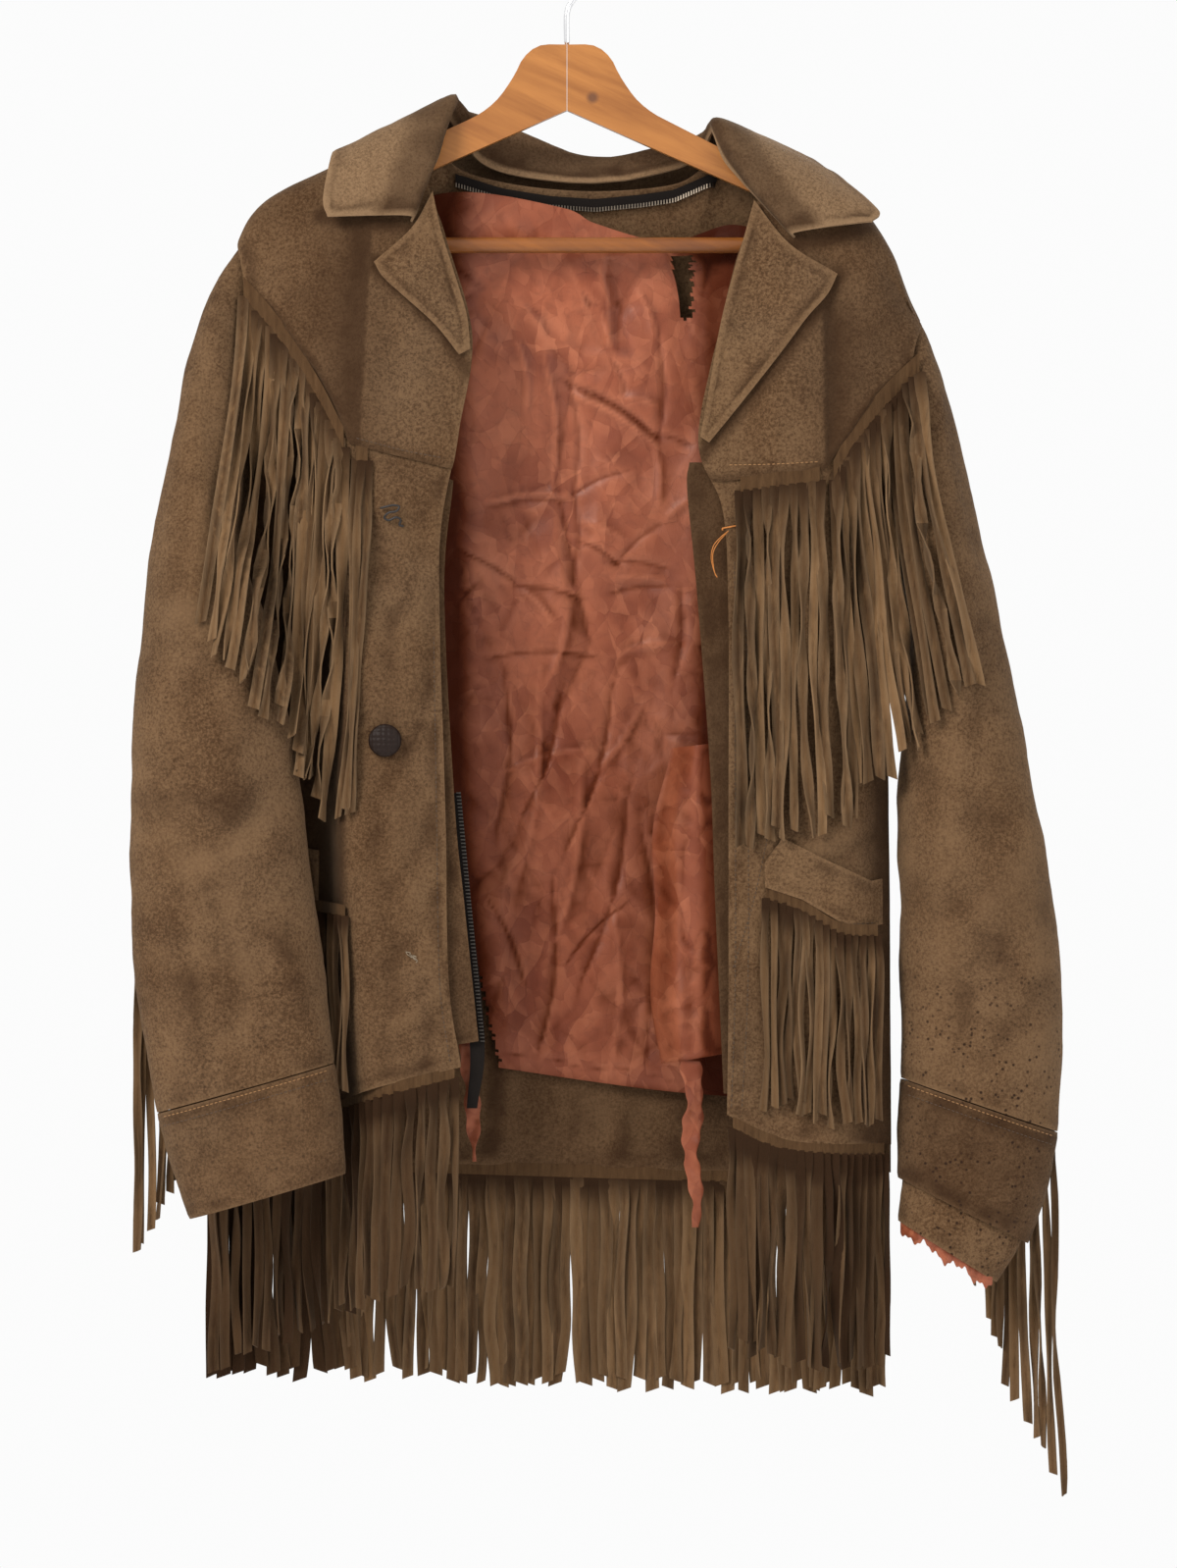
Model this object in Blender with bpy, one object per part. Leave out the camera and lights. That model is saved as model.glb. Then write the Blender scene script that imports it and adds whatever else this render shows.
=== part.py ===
"""A suede fringe jacket hung open on a flat wooden hanger.

Every piece of cloth is a closed wall of its real thickness. Left and right are the wearer's, so the
wearer's right side is at -X. Tables are in millimetres; a drop is the distance below the hook's bearing
point, which is the origin, and y grows from the front of the jacket to its back.
"""

import math
from collections import namedtuple

import bpy
from mathutils import Vector
from mathutils.bvhtree import BVHTree

MM = 0.001

# Cloth
SUEDE = 2.0
DOUBLED_SUEDE = 2.6
SATIN = 1.0
TAPE = 1.0
LINING_CLEARANCE = 1.1
SEAM_GAP = 0.3

# Hanger
ARM_THICK = 11.0
ARM_HALF_SPAN = 190.0
ARM_SLOPES = {-1: 0.46, 1: 0.51}
BAR_RADIUS = 5.3
BAR_DROP = 206.6
BAR_HALF = 180.0
WIRE_RADIUS = 2.0
CROOK_RADIUS = 20.0
STEM_FOOT = 71.6

# Fringe
STRIP_HEIGHT = 5.0
STRAND_THICK = 1.3
STRIP_CLEARANCE = 1.25
STEEPEST_ROOT = 0.35
WIDEST_STRAND = 0.44

FRONT = -1.0
BACK = 1.0
FAR = 400.0
SMOOTHINGS = 4

COLOURS = {
    "suede": ((0.155, 0.105, 0.060), 0.95, 0.0),
    "suede_fringe": ((0.200, 0.142, 0.085), 0.95, 0.0),
    "lining": ((0.420, 0.150, 0.090), 0.55, 0.0),
    "wood": ((0.600, 0.330, 0.130), 0.45, 0.0),
    "chrome": ((0.800, 0.800, 0.800), 0.15, 1.0),
    "zip_tape": ((0.030, 0.025, 0.022), 0.90, 0.0),
    "button_leather": ((0.045, 0.028, 0.018), 0.60, 0.0),
}

SLEEVE_SIDES = 16
SOLIDS = {}


def place(x, drop, y):
    """The point of a table's x, drop and y."""
    return Vector((x, y, -drop))


def stations(points, steps):
    """The given points, with so many steps from each one to the next on a smooth curve."""
    ends = [2 * points[0] - points[1]] + list(points) + [2 * points[-1] - points[-2]]
    found = []
    for i in range(1, len(ends) - 2):
        a, b, c, d = ends[i - 1 : i + 3]
        parts = steps[i - 1] if isinstance(steps, tuple) else steps
        for part in range(parts):
            t = part / parts
            bend = (2 * a - 5 * b + 4 * c - d) * t**2 + (3 * b - a - 3 * c + d) * t**3
            found.append(0.5 * (2 * b + (c - a) * t + bend))
    found.append(points[-1].copy())
    return found


def curve(points, count):
    """Evenly spaced points on a smooth curve through the given ones."""
    fine = stations(points, 8)
    reach = [0.0]
    for a, b in zip(fine, fine[1:]):
        reach.append(reach[-1] + (b - a).length)
    even = []
    span = 0
    for i in range(count):
        want = reach[-1] * i / (count - 1)
        while span < len(fine) - 2 and reach[span + 1] < want:
            span += 1
        part = (want - reach[span]) / max(reach[span + 1] - reach[span], 1e-9)
        even.append(fine[span].lerp(fine[span + 1], part))
    return even


def net(rows, across, steps):
    """A grid of points on the smooth surface through the rows, with steps from row to row."""
    lines = [curve([place(*p) for p in row], across + 1) for row in rows]
    columns = [stations([line[i] for line in lines], steps) for i in range(across + 1)]
    return [[column[j] for column in columns] for j in range(len(columns[0]))]


def normals(grid, closed=False):
    """A unit normal for each point of a grid."""
    high = len(grid)
    wide = len(grid[0])
    found = []
    for j in range(high):
        line = []
        for i in range(wide):
            if closed:
                across = grid[j][(i + 1) % wide] - grid[j][i - 1]
            else:
                across = grid[j][min(i + 1, wide - 1)] - grid[j][max(i - 1, 0)]
            along = grid[min(j + 1, high - 1)][i] - grid[max(j - 1, 0)][i]
            line.append(across.cross(along).normalized())
        found.append(line)
    return found


def moved_out(grid, distance):
    """The grid moved along its normals, towards the front of a panel where distance is positive."""
    return [
        [p + n * distance for p, n in zip(row, row_normals)]
        for row, row_normals in zip(grid, normals(grid))
    ]


def add_solid(name, points, faces, colour):
    """One named closed body, from points in millimetres."""
    mesh = bpy.data.meshes.new(name)
    mesh.from_pydata([p * MM for p in points], [], faces)
    mesh.validate()
    body = bpy.data.objects.new(name, mesh)
    bpy.context.scene.collection.objects.link(body)
    bpy.context.view_layer.objects.active = body
    bpy.ops.object.select_all(action="DESELECT")
    body.select_set(True)
    bpy.ops.object.mode_set(mode="EDIT")
    bpy.ops.mesh.select_all(action="SELECT")
    bpy.ops.mesh.normals_make_consistent(inside=False)
    bpy.ops.object.mode_set(mode="OBJECT")
    mesh.shade_smooth()
    mesh.set_sharp_from_angle(angle=math.radians(40))
    mesh.materials.append(bpy.data.materials[colour])
    SOLIDS[name] = BVHTree.FromPolygons(points, faces)
    return body


def wall(name, grid, thick, colour, closed=False, torn=()):
    """A closed wall on both sides of a grid; torn cells are left open right through it."""
    sides = normals(grid, closed)
    high = len(grid)
    wide = len(grid[0])
    columns = wide if closed else wide - 1
    points = []
    for side in (0.5, -0.5):
        for j in range(high):
            for i in range(wide):
                points.append(grid[j][i] + sides[j][i] * thick * side)
    inner = high * wide
    faces = []
    edges = {}
    for j in range(high - 1):
        for i in range(columns):
            if (i, j) in torn:
                continue
            k = (i + 1) % wide
            cell = [j * wide + i, j * wide + k, (j + 1) * wide + k, (j + 1) * wide + i]
            for half in (cell[:3], [cell[0], cell[2], cell[3]]):
                faces.append(half)
                faces.append([inner + v for v in reversed(half)])
            for a, b in zip(cell, cell[1:] + cell[:1]):
                if edges.pop((b, a), None) is None:
                    edges[(a, b)] = True
    for a, b in edges:
        faces.append([b, a, inner + a, inner + b])
    used = sorted({v for face in faces for v in face})
    order = {v: i for i, v in enumerate(used)}
    return add_solid(name, [points[v] for v in used], [[order[v] for v in f] for f in faces], colour)


def sample(grid, u, v):
    """The point at the shares u across and v along of a grid."""
    across = min(max(u, 0.0), 1.0) * (len(grid[0]) - 1)
    along = min(max(v, 0.0), 1.0) * (len(grid) - 1)
    i = min(int(across), len(grid[0]) - 2)
    j = min(int(along), len(grid) - 2)
    top = grid[j][i].lerp(grid[j][i + 1], across - i)
    bottom = grid[j + 1][i].lerp(grid[j + 1][i + 1], across - i)
    return top.lerp(bottom, along - j)


def drop_on(line, x):
    """The drop of a line of (x, drop) points at x."""
    if x <= line[0][0]:
        return line[0][1]
    for (x0, d0), (x1, d1) in zip(line, line[1:]):
        if x <= x1:
            return d0 + (d1 - d0) * (x - x0) / (x1 - x0)
    return line[-1][1]


def crossing(grid, u, line):
    """How far along its column a grid meets a line of (x, drop) points."""
    steps = 60
    short = None
    for k in range(steps + 1):
        p = sample(grid, u, k / steps)
        past = -p.z - drop_on(line, p.x)
        if past >= 0:
            return (k - past / (past - short)) / steps if short else k / steps
        short = past
    return 1.0


def overlay(grid, along, lift, low, high=None, columns=None, kept=0):
    """A grid that lies on part of another one, moved out by lift, between two lines.

    It has the columns of the other grid, from the first to the last that columns names, and starts with
    as many of its rows as kept says.
    """
    raised = moved_out(grid, lift)
    last = len(grid[0]) - 1
    first, end = columns or (0, last)
    found = [list(row[first : end + 1]) for row in raised[:kept]]
    rows = [[] for _ in range(along + 1)]
    for i in range(first, end + 1):
        start = kept / (len(grid) - 1)
        if high:
            start = crossing(grid, i / last, high)
        stop = crossing(grid, i / last, low)
        for j in range(along + 1):
            rows[j].append(sample(raised, i / last, start + (stop - start) * j / along))
    return found + rows


def surface_y(names, x, z, side):
    """The outermost y of the named solids at x and z, seen from the front or the back."""
    found = None
    for name in names:
        hit = SOLIDS[name].ray_cast(Vector((x, side * FAR, z)), Vector((0, -side, 0)))[0]
        if hit and (found is None or hit.y * side > found * side):
            found = hit.y
    return found


def kept_clear(point, names, clearance, side, reach=3.0, tall=3.0):
    """The point, moved off the named solids, seen over reach to each side and tall up and down."""
    y = point.y
    for dx in (-reach, 0, reach):
        for dz in (-tall, -tall / 2, 0, tall / 2, tall):
            under = surface_y(names, point.x + dx, point.z + dz, side)
            if under is not None and (under + side * clearance) * side > y * side:
                y = under + side * clearance
    return Vector((point.x, y, point.z))


def laid_on(grid, names, clearance, side):
    """A grid whose points keep clear of the named solids, and follow each other without steps."""
    found = [[kept_clear(p, names, clearance, side) for p in row] for row in grid]
    high = len(found)
    wide = len(found[0])
    for _ in range(SMOOTHINGS):
        even = [[p.y for p in row] for row in found]
        for j in range(high):
            for i in range(wide):
                beside = even[j][max(i - 1, 0)] + even[j][min(i + 1, wide - 1)]
                beside += even[max(j - 1, 0)][i] + even[min(j + 1, high - 1)][i]
                found[j][i].y = (even[j][i] + beside / 4) / 2
    return found


def fringe(name, cut, under):
    """A comb of cloth: a narrow strip along the root line, and strands that hang from it.

    The root line is given as rows of (x, drop, y), the strands keep clear of the solids under them, and
    drift is how far the ends of the first and the last strand lie to the side.
    """
    half_width = cut.width / 2
    beside = half_width + 1
    centres = curve([place(*p) for p in cut.root], cut.count)
    centres = [kept_clear(p, under, STRIP_CLEARANCE, cut.side, beside) for p in centres]
    bounds = []
    for i, centre in enumerate(centres):
        before = centres[max(i - 1, 0)]
        after = centres[min(i + 1, cut.count - 1)]
        ahead = (after - before).normalized()
        near = min((p - centre).length for p in (before, after) if p != centre)
        half = ahead * min(half_width / max(abs(ahead.x), STEEPEST_ROOT), WIDEST_STRAND * near)
        bounds += [centre - half, centre + half]
    up = Vector((0, 0, STRIP_HEIGHT))
    deep = Vector((0, STRAND_THICK / 2, 0))
    points = []
    for b in bounds:
        points += [b + up - deep, b + up + deep, b - deep, b + deep]
    faces = []
    last = 4 * (len(bounds) - 1)
    faces.append([0, 1, 3, 2])
    faces.append([last, last + 2, last + 3, last + 1])
    for i in range(len(bounds) - 1):
        a = 4 * i
        b = a + 4
        faces += [[a, a + 2, b + 2, b], [a + 1, b + 1, b + 3, a + 3], [a, b, b + 1, a + 1]]
        if i % 2:
            faces.append([a + 2, a + 3, b + 3, b + 2])
    for i in range(cut.count):
        share = i / (cut.count - 1)
        reach = cut.start + (cut.end - cut.start) * share
        drift = cut.drift[0] + (cut.drift[1] - cut.drift[0]) * share
        edge = [8 * i + 2, 8 * i + 6, 8 * i + 7, 8 * i + 3]
        left = bounds[2 * i]
        right = bounds[2 * i + 1]
        middle = centres[i]
        tall = 0.7 * reach / cut.levels
        for level in range(1, cut.levels + 1):
            fall = reach * level / cut.levels
            aside = drift * (level / cut.levels) ** 1.5
            foot = Vector((middle.x + aside, middle.y, middle.z - fall))
            middle_y = kept_clear(foot, under, cut.clearance, cut.side, beside, tall).y
            start = len(points)
            for x, sign in ((left.x, -1), (right.x, -1), (right.x, 1), (left.x, 1)):
                points.append(Vector((x + aside, middle_y + sign * STRAND_THICK / 2, foot.z)))
            ring = [start, start + 1, start + 2, start + 3]
            faces += [[edge[0], ring[0], ring[1]], [edge[0], ring[1], edge[1]]]
            faces += [[edge[2], ring[2], edge[3]], [ring[2], ring[3], edge[3]]]
            faces += [[edge[1], ring[1], ring[2], edge[2]], [edge[3], ring[3], ring[0], edge[0]]]
            edge = ring
        faces.append(edge)
    return add_solid(name, points, faces, "suede_fringe")


Ring = namedtuple("Ring", "outer_x outer_drop inner_x inner_drop centre_y half_depth")


def tube(rings, around, steps):
    """A grid round a sleeve, from rings that each lie between an outer and an inner edge point."""
    rows = []
    for ring in rings:
        outer = place(ring.outer_x, ring.outer_drop, ring.centre_y)
        inner = place(ring.inner_x, ring.inner_drop, ring.centre_y)
        half = (inner - outer) / 2
        row = []
        for k in range(around):
            turn = 2 * math.pi * k / around
            depth = Vector((0, math.sin(turn) * ring.half_depth, 0))
            row.append((outer + inner) / 2 + half * math.cos(turn) + depth)
        rows.append(row)
    columns = [stations([row[k] for row in rows], steps) for k in range(around)]
    return [[column[j] for column in columns] for j in range(len(columns[0]))]


# Shoulder lines, from the neck to the sleeve, as (x, drop)
SHOULDER_RIGHT = [(-93, 124), (-130, 142), (-156, 157), (-190, 173.5), (-208, 188), (-218.7, 208)]
SHOULDER_LEFT = [
    (106, 134.5),
    (140, 148),
    (170, 163),
    (190, 177),
    (203, 194),
    (214, 214),
    (226, 242),
    (235.5, 261),
]
RIDGE_Y = 1.2
SHOULDER_FALL = 6.0
SHOULDER_DEPTH = 12.0


def shoulder_rows(line, side):
    """The two rows of a panel at the ridge of the shoulder and just below it."""
    ridge = [(x, drop, side * RIDGE_Y) for x, drop in line]
    below = [(x, drop + SHOULDER_FALL, side * SHOULDER_DEPTH) for x, drop in line]
    below[-1] = (line[-1][0], line[-1][1] + SHOULDER_FALL, side * SHOULDER_DEPTH / 2)
    return [ridge, below]


FrontRow = namedtuple("FrontRow", "edge fold recess side")

# The wearer's right front: its edge rolls, it creases forward at the fold and falls back to the side
FRONT_RIGHT_ROWS = [
    FrontRow((-95, 160, -18), (-130, 172, -20), (-175, 196, -18), (-217.9, 235, -10.5)),
    FrontRow((-81, 205, -25), (-136, 210, -28), (-180, 226, -24), (-217.2, 262, -16)),
    FrontRow((-63.4, 270, -32), (-141, 275, -36), (-178, 285, -26), (-216, 300, -18)),
    FrontRow((-72, 332, -36), (-144, 340, -41), (-172, 346, -16), (-214.5, 350, -15.2)),
    FrontRow((-84, 396, -38), (-140, 395, -42), (-166, 398, -6), (-213.2, 396, 0.2)),
    FrontRow((-85, 460, -40), (-142, 460, -43), (-167, 460, -1), (-222, 455, 4.6)),
    FrontRow((-81, 590, -42), (-145, 590, -45), (-170, 592, 2), (-235, 590, 7.6)),
    FrontRow((-79, 700, -42), (-137, 712, -44), (-163, 720, 2), (-241, 715, 9.6)),
    FrontRow((-70.6, 758, -42), (-131, 773, -43), (-158, 786, 4), (-243, 822, 11.6)),
]

# The wearer's left front: the fold is the crease below the yoke's corner
FRONT_LEFT_ROWS = [
    FrontRow((129, 170, -18), (155, 180, -22), (190, 200, -22), (236.5, 266, -10)),
    FrontRow((113.5, 220, -27), (155, 225, -31), (192, 236, -30), (232.8, 280, -22.4)),
    FrontRow((103, 262, -33), (152, 270, -38), (190, 288, -36), (224.1, 330, -30)),
    FrontRow((88, 340, -37), (140, 348, -43), (178, 352, -42), (217.1, 370, -25.4)),
    FrontRow((104, 385, -39), (145, 388, -43), (180, 390, -40), (212.2, 398, -7.9)),
    FrontRow((108, 450, -40), (146, 450, -43), (186, 450, -38), (214, 450, -9.9)),
    FrontRow((108, 600, -42), (150, 600, -44), (188, 600, -36), (216, 600, -9.9)),
    FrontRow((108, 715, -42), (150, 718, -43), (188, 718, -37), (217, 720, -9.9)),
    FrontRow((107, 790, -41), (140, 805, -42), (178, 810, -38), (217.5, 811, -9.9)),
]

NECK_BACK = [
    (-83, 141, 14),
    (-72, 155, 17),
    (-33, 165, 21),
    (19, 169, 24),
    (70, 165, 21),
    (90, 155, 16),
    (100, 144, 11),
]

BackRow = namedtuple("BackRow", "right_side right middle left left_side")

BACK_ROWS = [
    BackRow((-217.2, 262, 20), (-130, 240, 30), (10, 232, 33), (140, 245, 30), (232.8, 280, 10.4)),
    BackRow((-215.5, 330, 21), (-130, 320, 33), (5, 315, 35), (140, 322, 32), (224.1, 330, 18)),
    BackRow((-213.2, 395, 3.8), (-140, 400, 32), (0, 400, 36), (140, 400, 31), (212.2, 398, -4.1)),
    BackRow((-222, 455, 8.2), (-145, 460, 34), (-5, 460, 36), (140, 460, 33), (214, 450, -6.1)),
    BackRow((-235, 590, 11.2), (-150, 600, 36), (-10, 600, 38), (140, 600, 35), (216, 600, -6.1)),
    BackRow((-241, 715, 13.2), (-150, 720, 37), (-15, 720, 39), (140, 720, 35), (217, 720, -6.1)),
    BackRow((-243, 822, 15.2), (-150, 824, 38), (-20, 828, 40), (130, 832, 36), (217.5, 830, -6.1)),
]

# The sleeves' rings run from the armhole to the cuff
SLEEVE_RIGHT = [
    Ring(-220.5, 210, -215, 396, 2, 20),
    Ring(-236, 236, -217, 404, -6, 28),
    Ring(-253, 285, -218, 418, -16, 34),
    Ring(-264, 345, -212, 434, -30, 36),
    Ring(-275, 400, -203, 455, -38, 38),
    Ring(-283, 470, -193, 500, -42, 38),
    Ring(-290, 535, -183, 545, -44, 38),
    Ring(-290.5, 605, -175, 605, -45, 37),
    Ring(-289.5, 668, -168, 660, -46, 36),
    Ring(-284, 718, -161, 712, -46, 34),
    Ring(-273, 788, -156, 755, -46, 32),
]
CUFF_RIGHT = [
    Ring(-272.6, 788.8, -155.8, 755.8, -46, 32),
    Ring(-262, 826, -151, 794, -46, 30),
    Ring(-251, 859, -148.5, 829, -46, 28),
]
SLEEVE_LEFT = [
    Ring(238.6, 263, 214.4, 399, -6, 24),
    Ring(246, 282, 218, 405, -8, 29),
    Ring(256, 312, 222, 420, -10, 34),
    Ring(268, 360, 227, 440, -11, 37),
    Ring(281, 418, 231, 468, -12, 38),
    Ring(297, 493, 228, 515, -12, 38),
    Ring(311.5, 570, 223.5, 582, -12, 39),
    Ring(325, 640, 224, 652, -12, 38),
    Ring(331, 728, 225.5, 715, -12, 34),
    Ring(329, 802, 225, 766, -12, 31),
]
CUFF_LEFT = [
    Ring(328.8, 802.8, 224.8, 766.8, -12, 31),
    Ring(322, 840, 223.5, 800, -12, 29),
    Ring(309, 877, 223, 833, -12, 27),
]
CUFF_INNER_LEFT = [
    Ring(316.5, 838.5, 226.4, 801, -12, 26),
    Ring(305, 874, 226, 832, -12, 24.3),
    Ring(288, 903, 223, 862, -12, 24),
]

CollarRow = namedtuple("CollarRow", "base roll fall")

# Round the neck from the wearer's right notch to the left one
COLLAR_ROWS = [
    CollarRow((-104, 193, -33), (-108, 189, -38), (-160, 190, -39)),
    CollarRow((-95, 166, -26), (-96, 157, -34), (-163, 178, -36)),
    CollarRow((-86, 148, -17), (-88, 126, -22), (-158, 149, -18)),
    CollarRow((-81, 123.5, -7.5), (-80, 109, -9), (-155, 145, 0)),
    CollarRow((-79, 123, 7.5), (-77, 110, 10), (-146, 149, 22)),
    CollarRow((-58, 150, 17), (-56, 122, 26), (-104, 196, 42)),
    CollarRow((-24, 160, 23), (-24, 133, 37), (-36, 216, 48)),
    CollarRow((19, 163, 26), (19, 148, 42), (19, 222, 50)),
    CollarRow((62, 157, 23), (62, 142, 36), (76, 214, 47)),
    CollarRow((88, 147, 17), (92, 133, 23), (130, 190, 40)),
    CollarRow((97, 132.5, 7.5), (102, 123, 8), (158, 148, 24)),
    CollarRow((99, 132.5, -7.5), (106, 125, -9), (178, 157, 4)),
    CollarRow((106, 151, -16), (117, 139, -21), (191, 168, -12)),
    CollarRow((124, 172, -25), (129, 163, -33), (209, 186, -32)),
    CollarRow((152, 204, -35), (155, 200, -41), (204, 193, -41)),
]

LAPEL_RIGHT_ROWS = [
    [(-90, 172, -27), (-104, 197, -30), (-129, 220, -32)],
    [(-84, 199, -28), (-99, 215, -32), (-123, 230, -33)],
    [(-75, 228, -30), (-90, 236, -33), (-110, 242, -34)],
    [(-67, 255, -33), (-77, 259, -35), (-88, 262, -36)],
    [(-64.5, 278, -35), (-68, 280, -36), (-72, 282, -37)],
]
LAPEL_LEFT_ROWS = [
    [(125.5, 178, -26), (149, 208, -32), (181, 228, -34)],
    [(118, 205, -28), (144, 227, -34), (174, 242, -36)],
    [(109, 236, -32), (134, 250, -36), (160, 258, -38)],
    [(102, 265, -35), (121, 275, -38), (143, 281, -40)],
    [(95, 305, -38), (104, 313, -40), (113, 319, -42)],
    [(89, 337, -40), (92, 339, -41), (95, 341, -42)],
]
FACING_RIGHT_ROWS = [
    [(-112, 352, -33), (-76, 366, -31)],
    [(-112, 440, -34.5), (-82, 440, -33)],
    [(-112, 583, -37), (-75, 583, -35)],
    [(-108, 649, -37), (-68.6, 649, -35)],
    [(-104, 748, -37), (-59, 741, -35)],
]
EDGE_BAND_LEFT_ROWS = [
    [(80.5, 372, -33), (112, 372, -35)],
    [(87, 440, -33), (114, 440, -36)],
    [(96, 560, -34), (116, 560, -38)],
    [(99, 640, -34), (117, 640, -38)],
    [(105, 776, -34), (120, 776, -38)],
]
ZIP_TAPE_FRONT_ROWS = [
    [(-81, 575, -31), (-71, 575, -31)],
    [(-74, 649, -31), (-64, 649, -31)],
    [(-65, 741, -31), (-55, 741, -31)],
    [(-67, 786, -31), (-60, 786, -31)],
]
LINING_TOP = [
    (-140, 190, 9),
    (-77, 170, 12),
    (-4, 180, 17),
    (20, 191, 19),
    (68, 203, 19),
    (110, 192, 12),
    (140, 200, 9),
]
LINING_ROWS = [
    LINING_TOP,
    [(-170, 240, 13), (-90, 240, 22), (0, 240, 26), (90, 240, 22), (170, 250, 13)],
    [(-180, 330, 14), (-90, 330, 26), (0, 330, 30), (90, 330, 26), (178, 330, 12)],
    [(-180, 400, 9), (-90, 400, 27), (0, 400, 30), (90, 400, 26), (178, 400, 5)],
    [(-182, 520, 14), (-90, 520, 29), (0, 520, 32), (90, 520, 28), (180, 520, 6)],
    [(-184, 650, 15), (-90, 650, 30), (0, 650, 33), (90, 650, 29), (180, 650, 6)],
    [(-184, 750, 15), (-100, 752, 30), (-45, 761, 33), (71, 777, 30), (180, 783, 6)],
]
LINING_FLAP_ROWS = [
    [(68, 545, -28), (116, 540, -40)],
    [(60, 600, -22), (114, 600, -40)],
    [(57, 680, -20), (112, 680, -40)],
    [(62, 757, -20), (114, 748, -40)],
]
LINING_STRIP_ROWS = [
    [(78, 755.6, -24), (88, 753.9, -26.6)],
    [(80, 810, -23), (90, 810, -25)],
    [(81, 866, -22), (89, 866, -24)],
]
SLIT_X = (70, 88)
SLIT_DROP = (212, 256)

# Lower lines of the yokes and lines of the pocket flaps, as (x, drop)
YOKE_RIGHT_LINE = [(-225, 232), (-196, 254), (-166, 298), (-145, 342), (-79, 358)]
YOKE_LEFT_LINE = [(90, 364), (103, 367), (173.6, 358), (206, 312), (238, 284)]
YOKE_BACK_LINE = [(-222, 254), (-160, 268), (-80, 308), (5, 326), (90, 310), (170, 288), (238, 284)]
FLAP_LEFT_TOP = [(126, 630), (144, 605), (172, 619), (204, 634), (224, 630)]
FLAP_LEFT_LOW = [(126, 636), (157, 646), (182, 661), (199, 665), (224, 661)]
FLAP_RIGHT_TOP = [(-240, 600), (-144, 618)]
FLAP_RIGHT_LOW = [(-240, 640), (-144, 650)]

# Roots of the fringes as (x, drop, y)
ROOT_YOKE_RIGHT = [(-217, 241.5, -18), (-194, 268, -24), (-167, 309, -34), (-149, 344, -42)]
ROOT_CHEST_RIGHT = [(-141, 352, -42), (-133, 353, -42)]
ROOT_YOKE_LEFT = [(178, 366, -42), (190, 344, -40), (212, 316, -34), (236, 293, -18)]
ROOT_CHEST_LEFT = [(116, 373, -42), (169, 366, -42)]
ROOT_POCKET_LEFT = [(133, 645, -44), (157, 653, -44), (182, 668, -42), (208, 670, -34)]
ROOT_POCKET_RIGHT = [(-148, 657, -36), (-160, 655, -10), (-200, 651, 0)]
ROOT_HEM_RIGHT = [(-75, 764.7, -42), (-126, 778, -43), (-160, 792.2, 3), (-238, 826.8, 11)]
ROOT_HEM_LEFT = [(111, 798, -41), (140, 810.8, -42), (178, 815.6, -38), (213, 816.8, -14)]
ROOT_HEM_BACK = [(-238, 828, 17), (-150, 829.8, 38), (-20, 833.8, 40), (130, 837.8, 36), (213, 836, -2)]
ROOT_BACK_YOKE = [
    (-206, 271, 22),
    (-160, 283, 30),
    (-80, 319, 34),
    (5, 337, 35),
    (90, 321, 34),
    (178, 298, 28),
]
ROOT_SLEEVE_RIGHT = [(-234, 545, -30), (-287, 650, -40)]
ROOT_SLEEVE_LEFT = [(234, 570, -8), (280, 680, 0), (326, 800, -8)]


def cloth_panels():
    """The fronts and the back, as fine grids that other pieces are laid on, and as walls."""
    grids = {}
    for name, rows, line in (
        ("front_right", FRONT_RIGHT_ROWS, SHOULDER_RIGHT),
        ("front_left", FRONT_LEFT_ROWS, SHOULDER_LEFT),
    ):
        grids[name] = net(shoulder_rows(line, FRONT) + [list(row) for row in rows], 10, 2)
    ridge_right, below_right = shoulder_rows(SHOULDER_RIGHT[::-1], BACK)
    ridge_left, below_left = shoulder_rows(SHOULDER_LEFT, BACK)
    neck_low = [(x, drop + 9, y + 3) for x, drop, y in NECK_BACK]
    rows = [ridge_right + NECK_BACK + ridge_left, below_right + neck_low + below_left]
    grids["back"] = net(rows + [list(row) for row in BACK_ROWS], 20, (1, 3, 1, 1, 1, 1, 1, 1))
    for name, grid in grids.items():
        wall(name, grid, SUEDE, "suede")
    return grids


def sleeves():
    """Sleeves and cuffs, as tubes open at both ends."""
    for name, rings, steps, thick in (
        ("sleeve_right", SLEEVE_RIGHT, 1, SUEDE),
        ("sleeve_left", SLEEVE_LEFT, 1, SUEDE),
        ("cuff_right", CUFF_RIGHT, 1, DOUBLED_SUEDE),
        ("cuff_left", CUFF_LEFT, 1, DOUBLED_SUEDE),
        ("cuff_inner_left", CUFF_INNER_LEFT, 1, SUEDE),
    ):
        wall(name, tube(rings, SLEEVE_SIDES, steps), thick, "suede", closed=True)


def yokes(grids):
    """Yokes, each laid on the points of its panel."""
    lift = SUEDE + 1.5
    for name, base, outward, line, along, kept, columns in (
        ("yoke_right", "front_right", 1, YOKE_RIGHT_LINE, 6, 3, (0, 9)),
        ("yoke_left", "front_left", -1, YOKE_LEFT_LINE, 6, 3, (0, 9)),
        ("back_yoke", "back", 1, YOKE_BACK_LINE, 3, 4, (1, 19)),
    ):
        grid = overlay(grids[base], along, outward * lift, line, columns=columns, kept=kept)
        if base == "back":
            grid = grid[1:]
        wall(name, grid, SUEDE, "suede")


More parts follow.
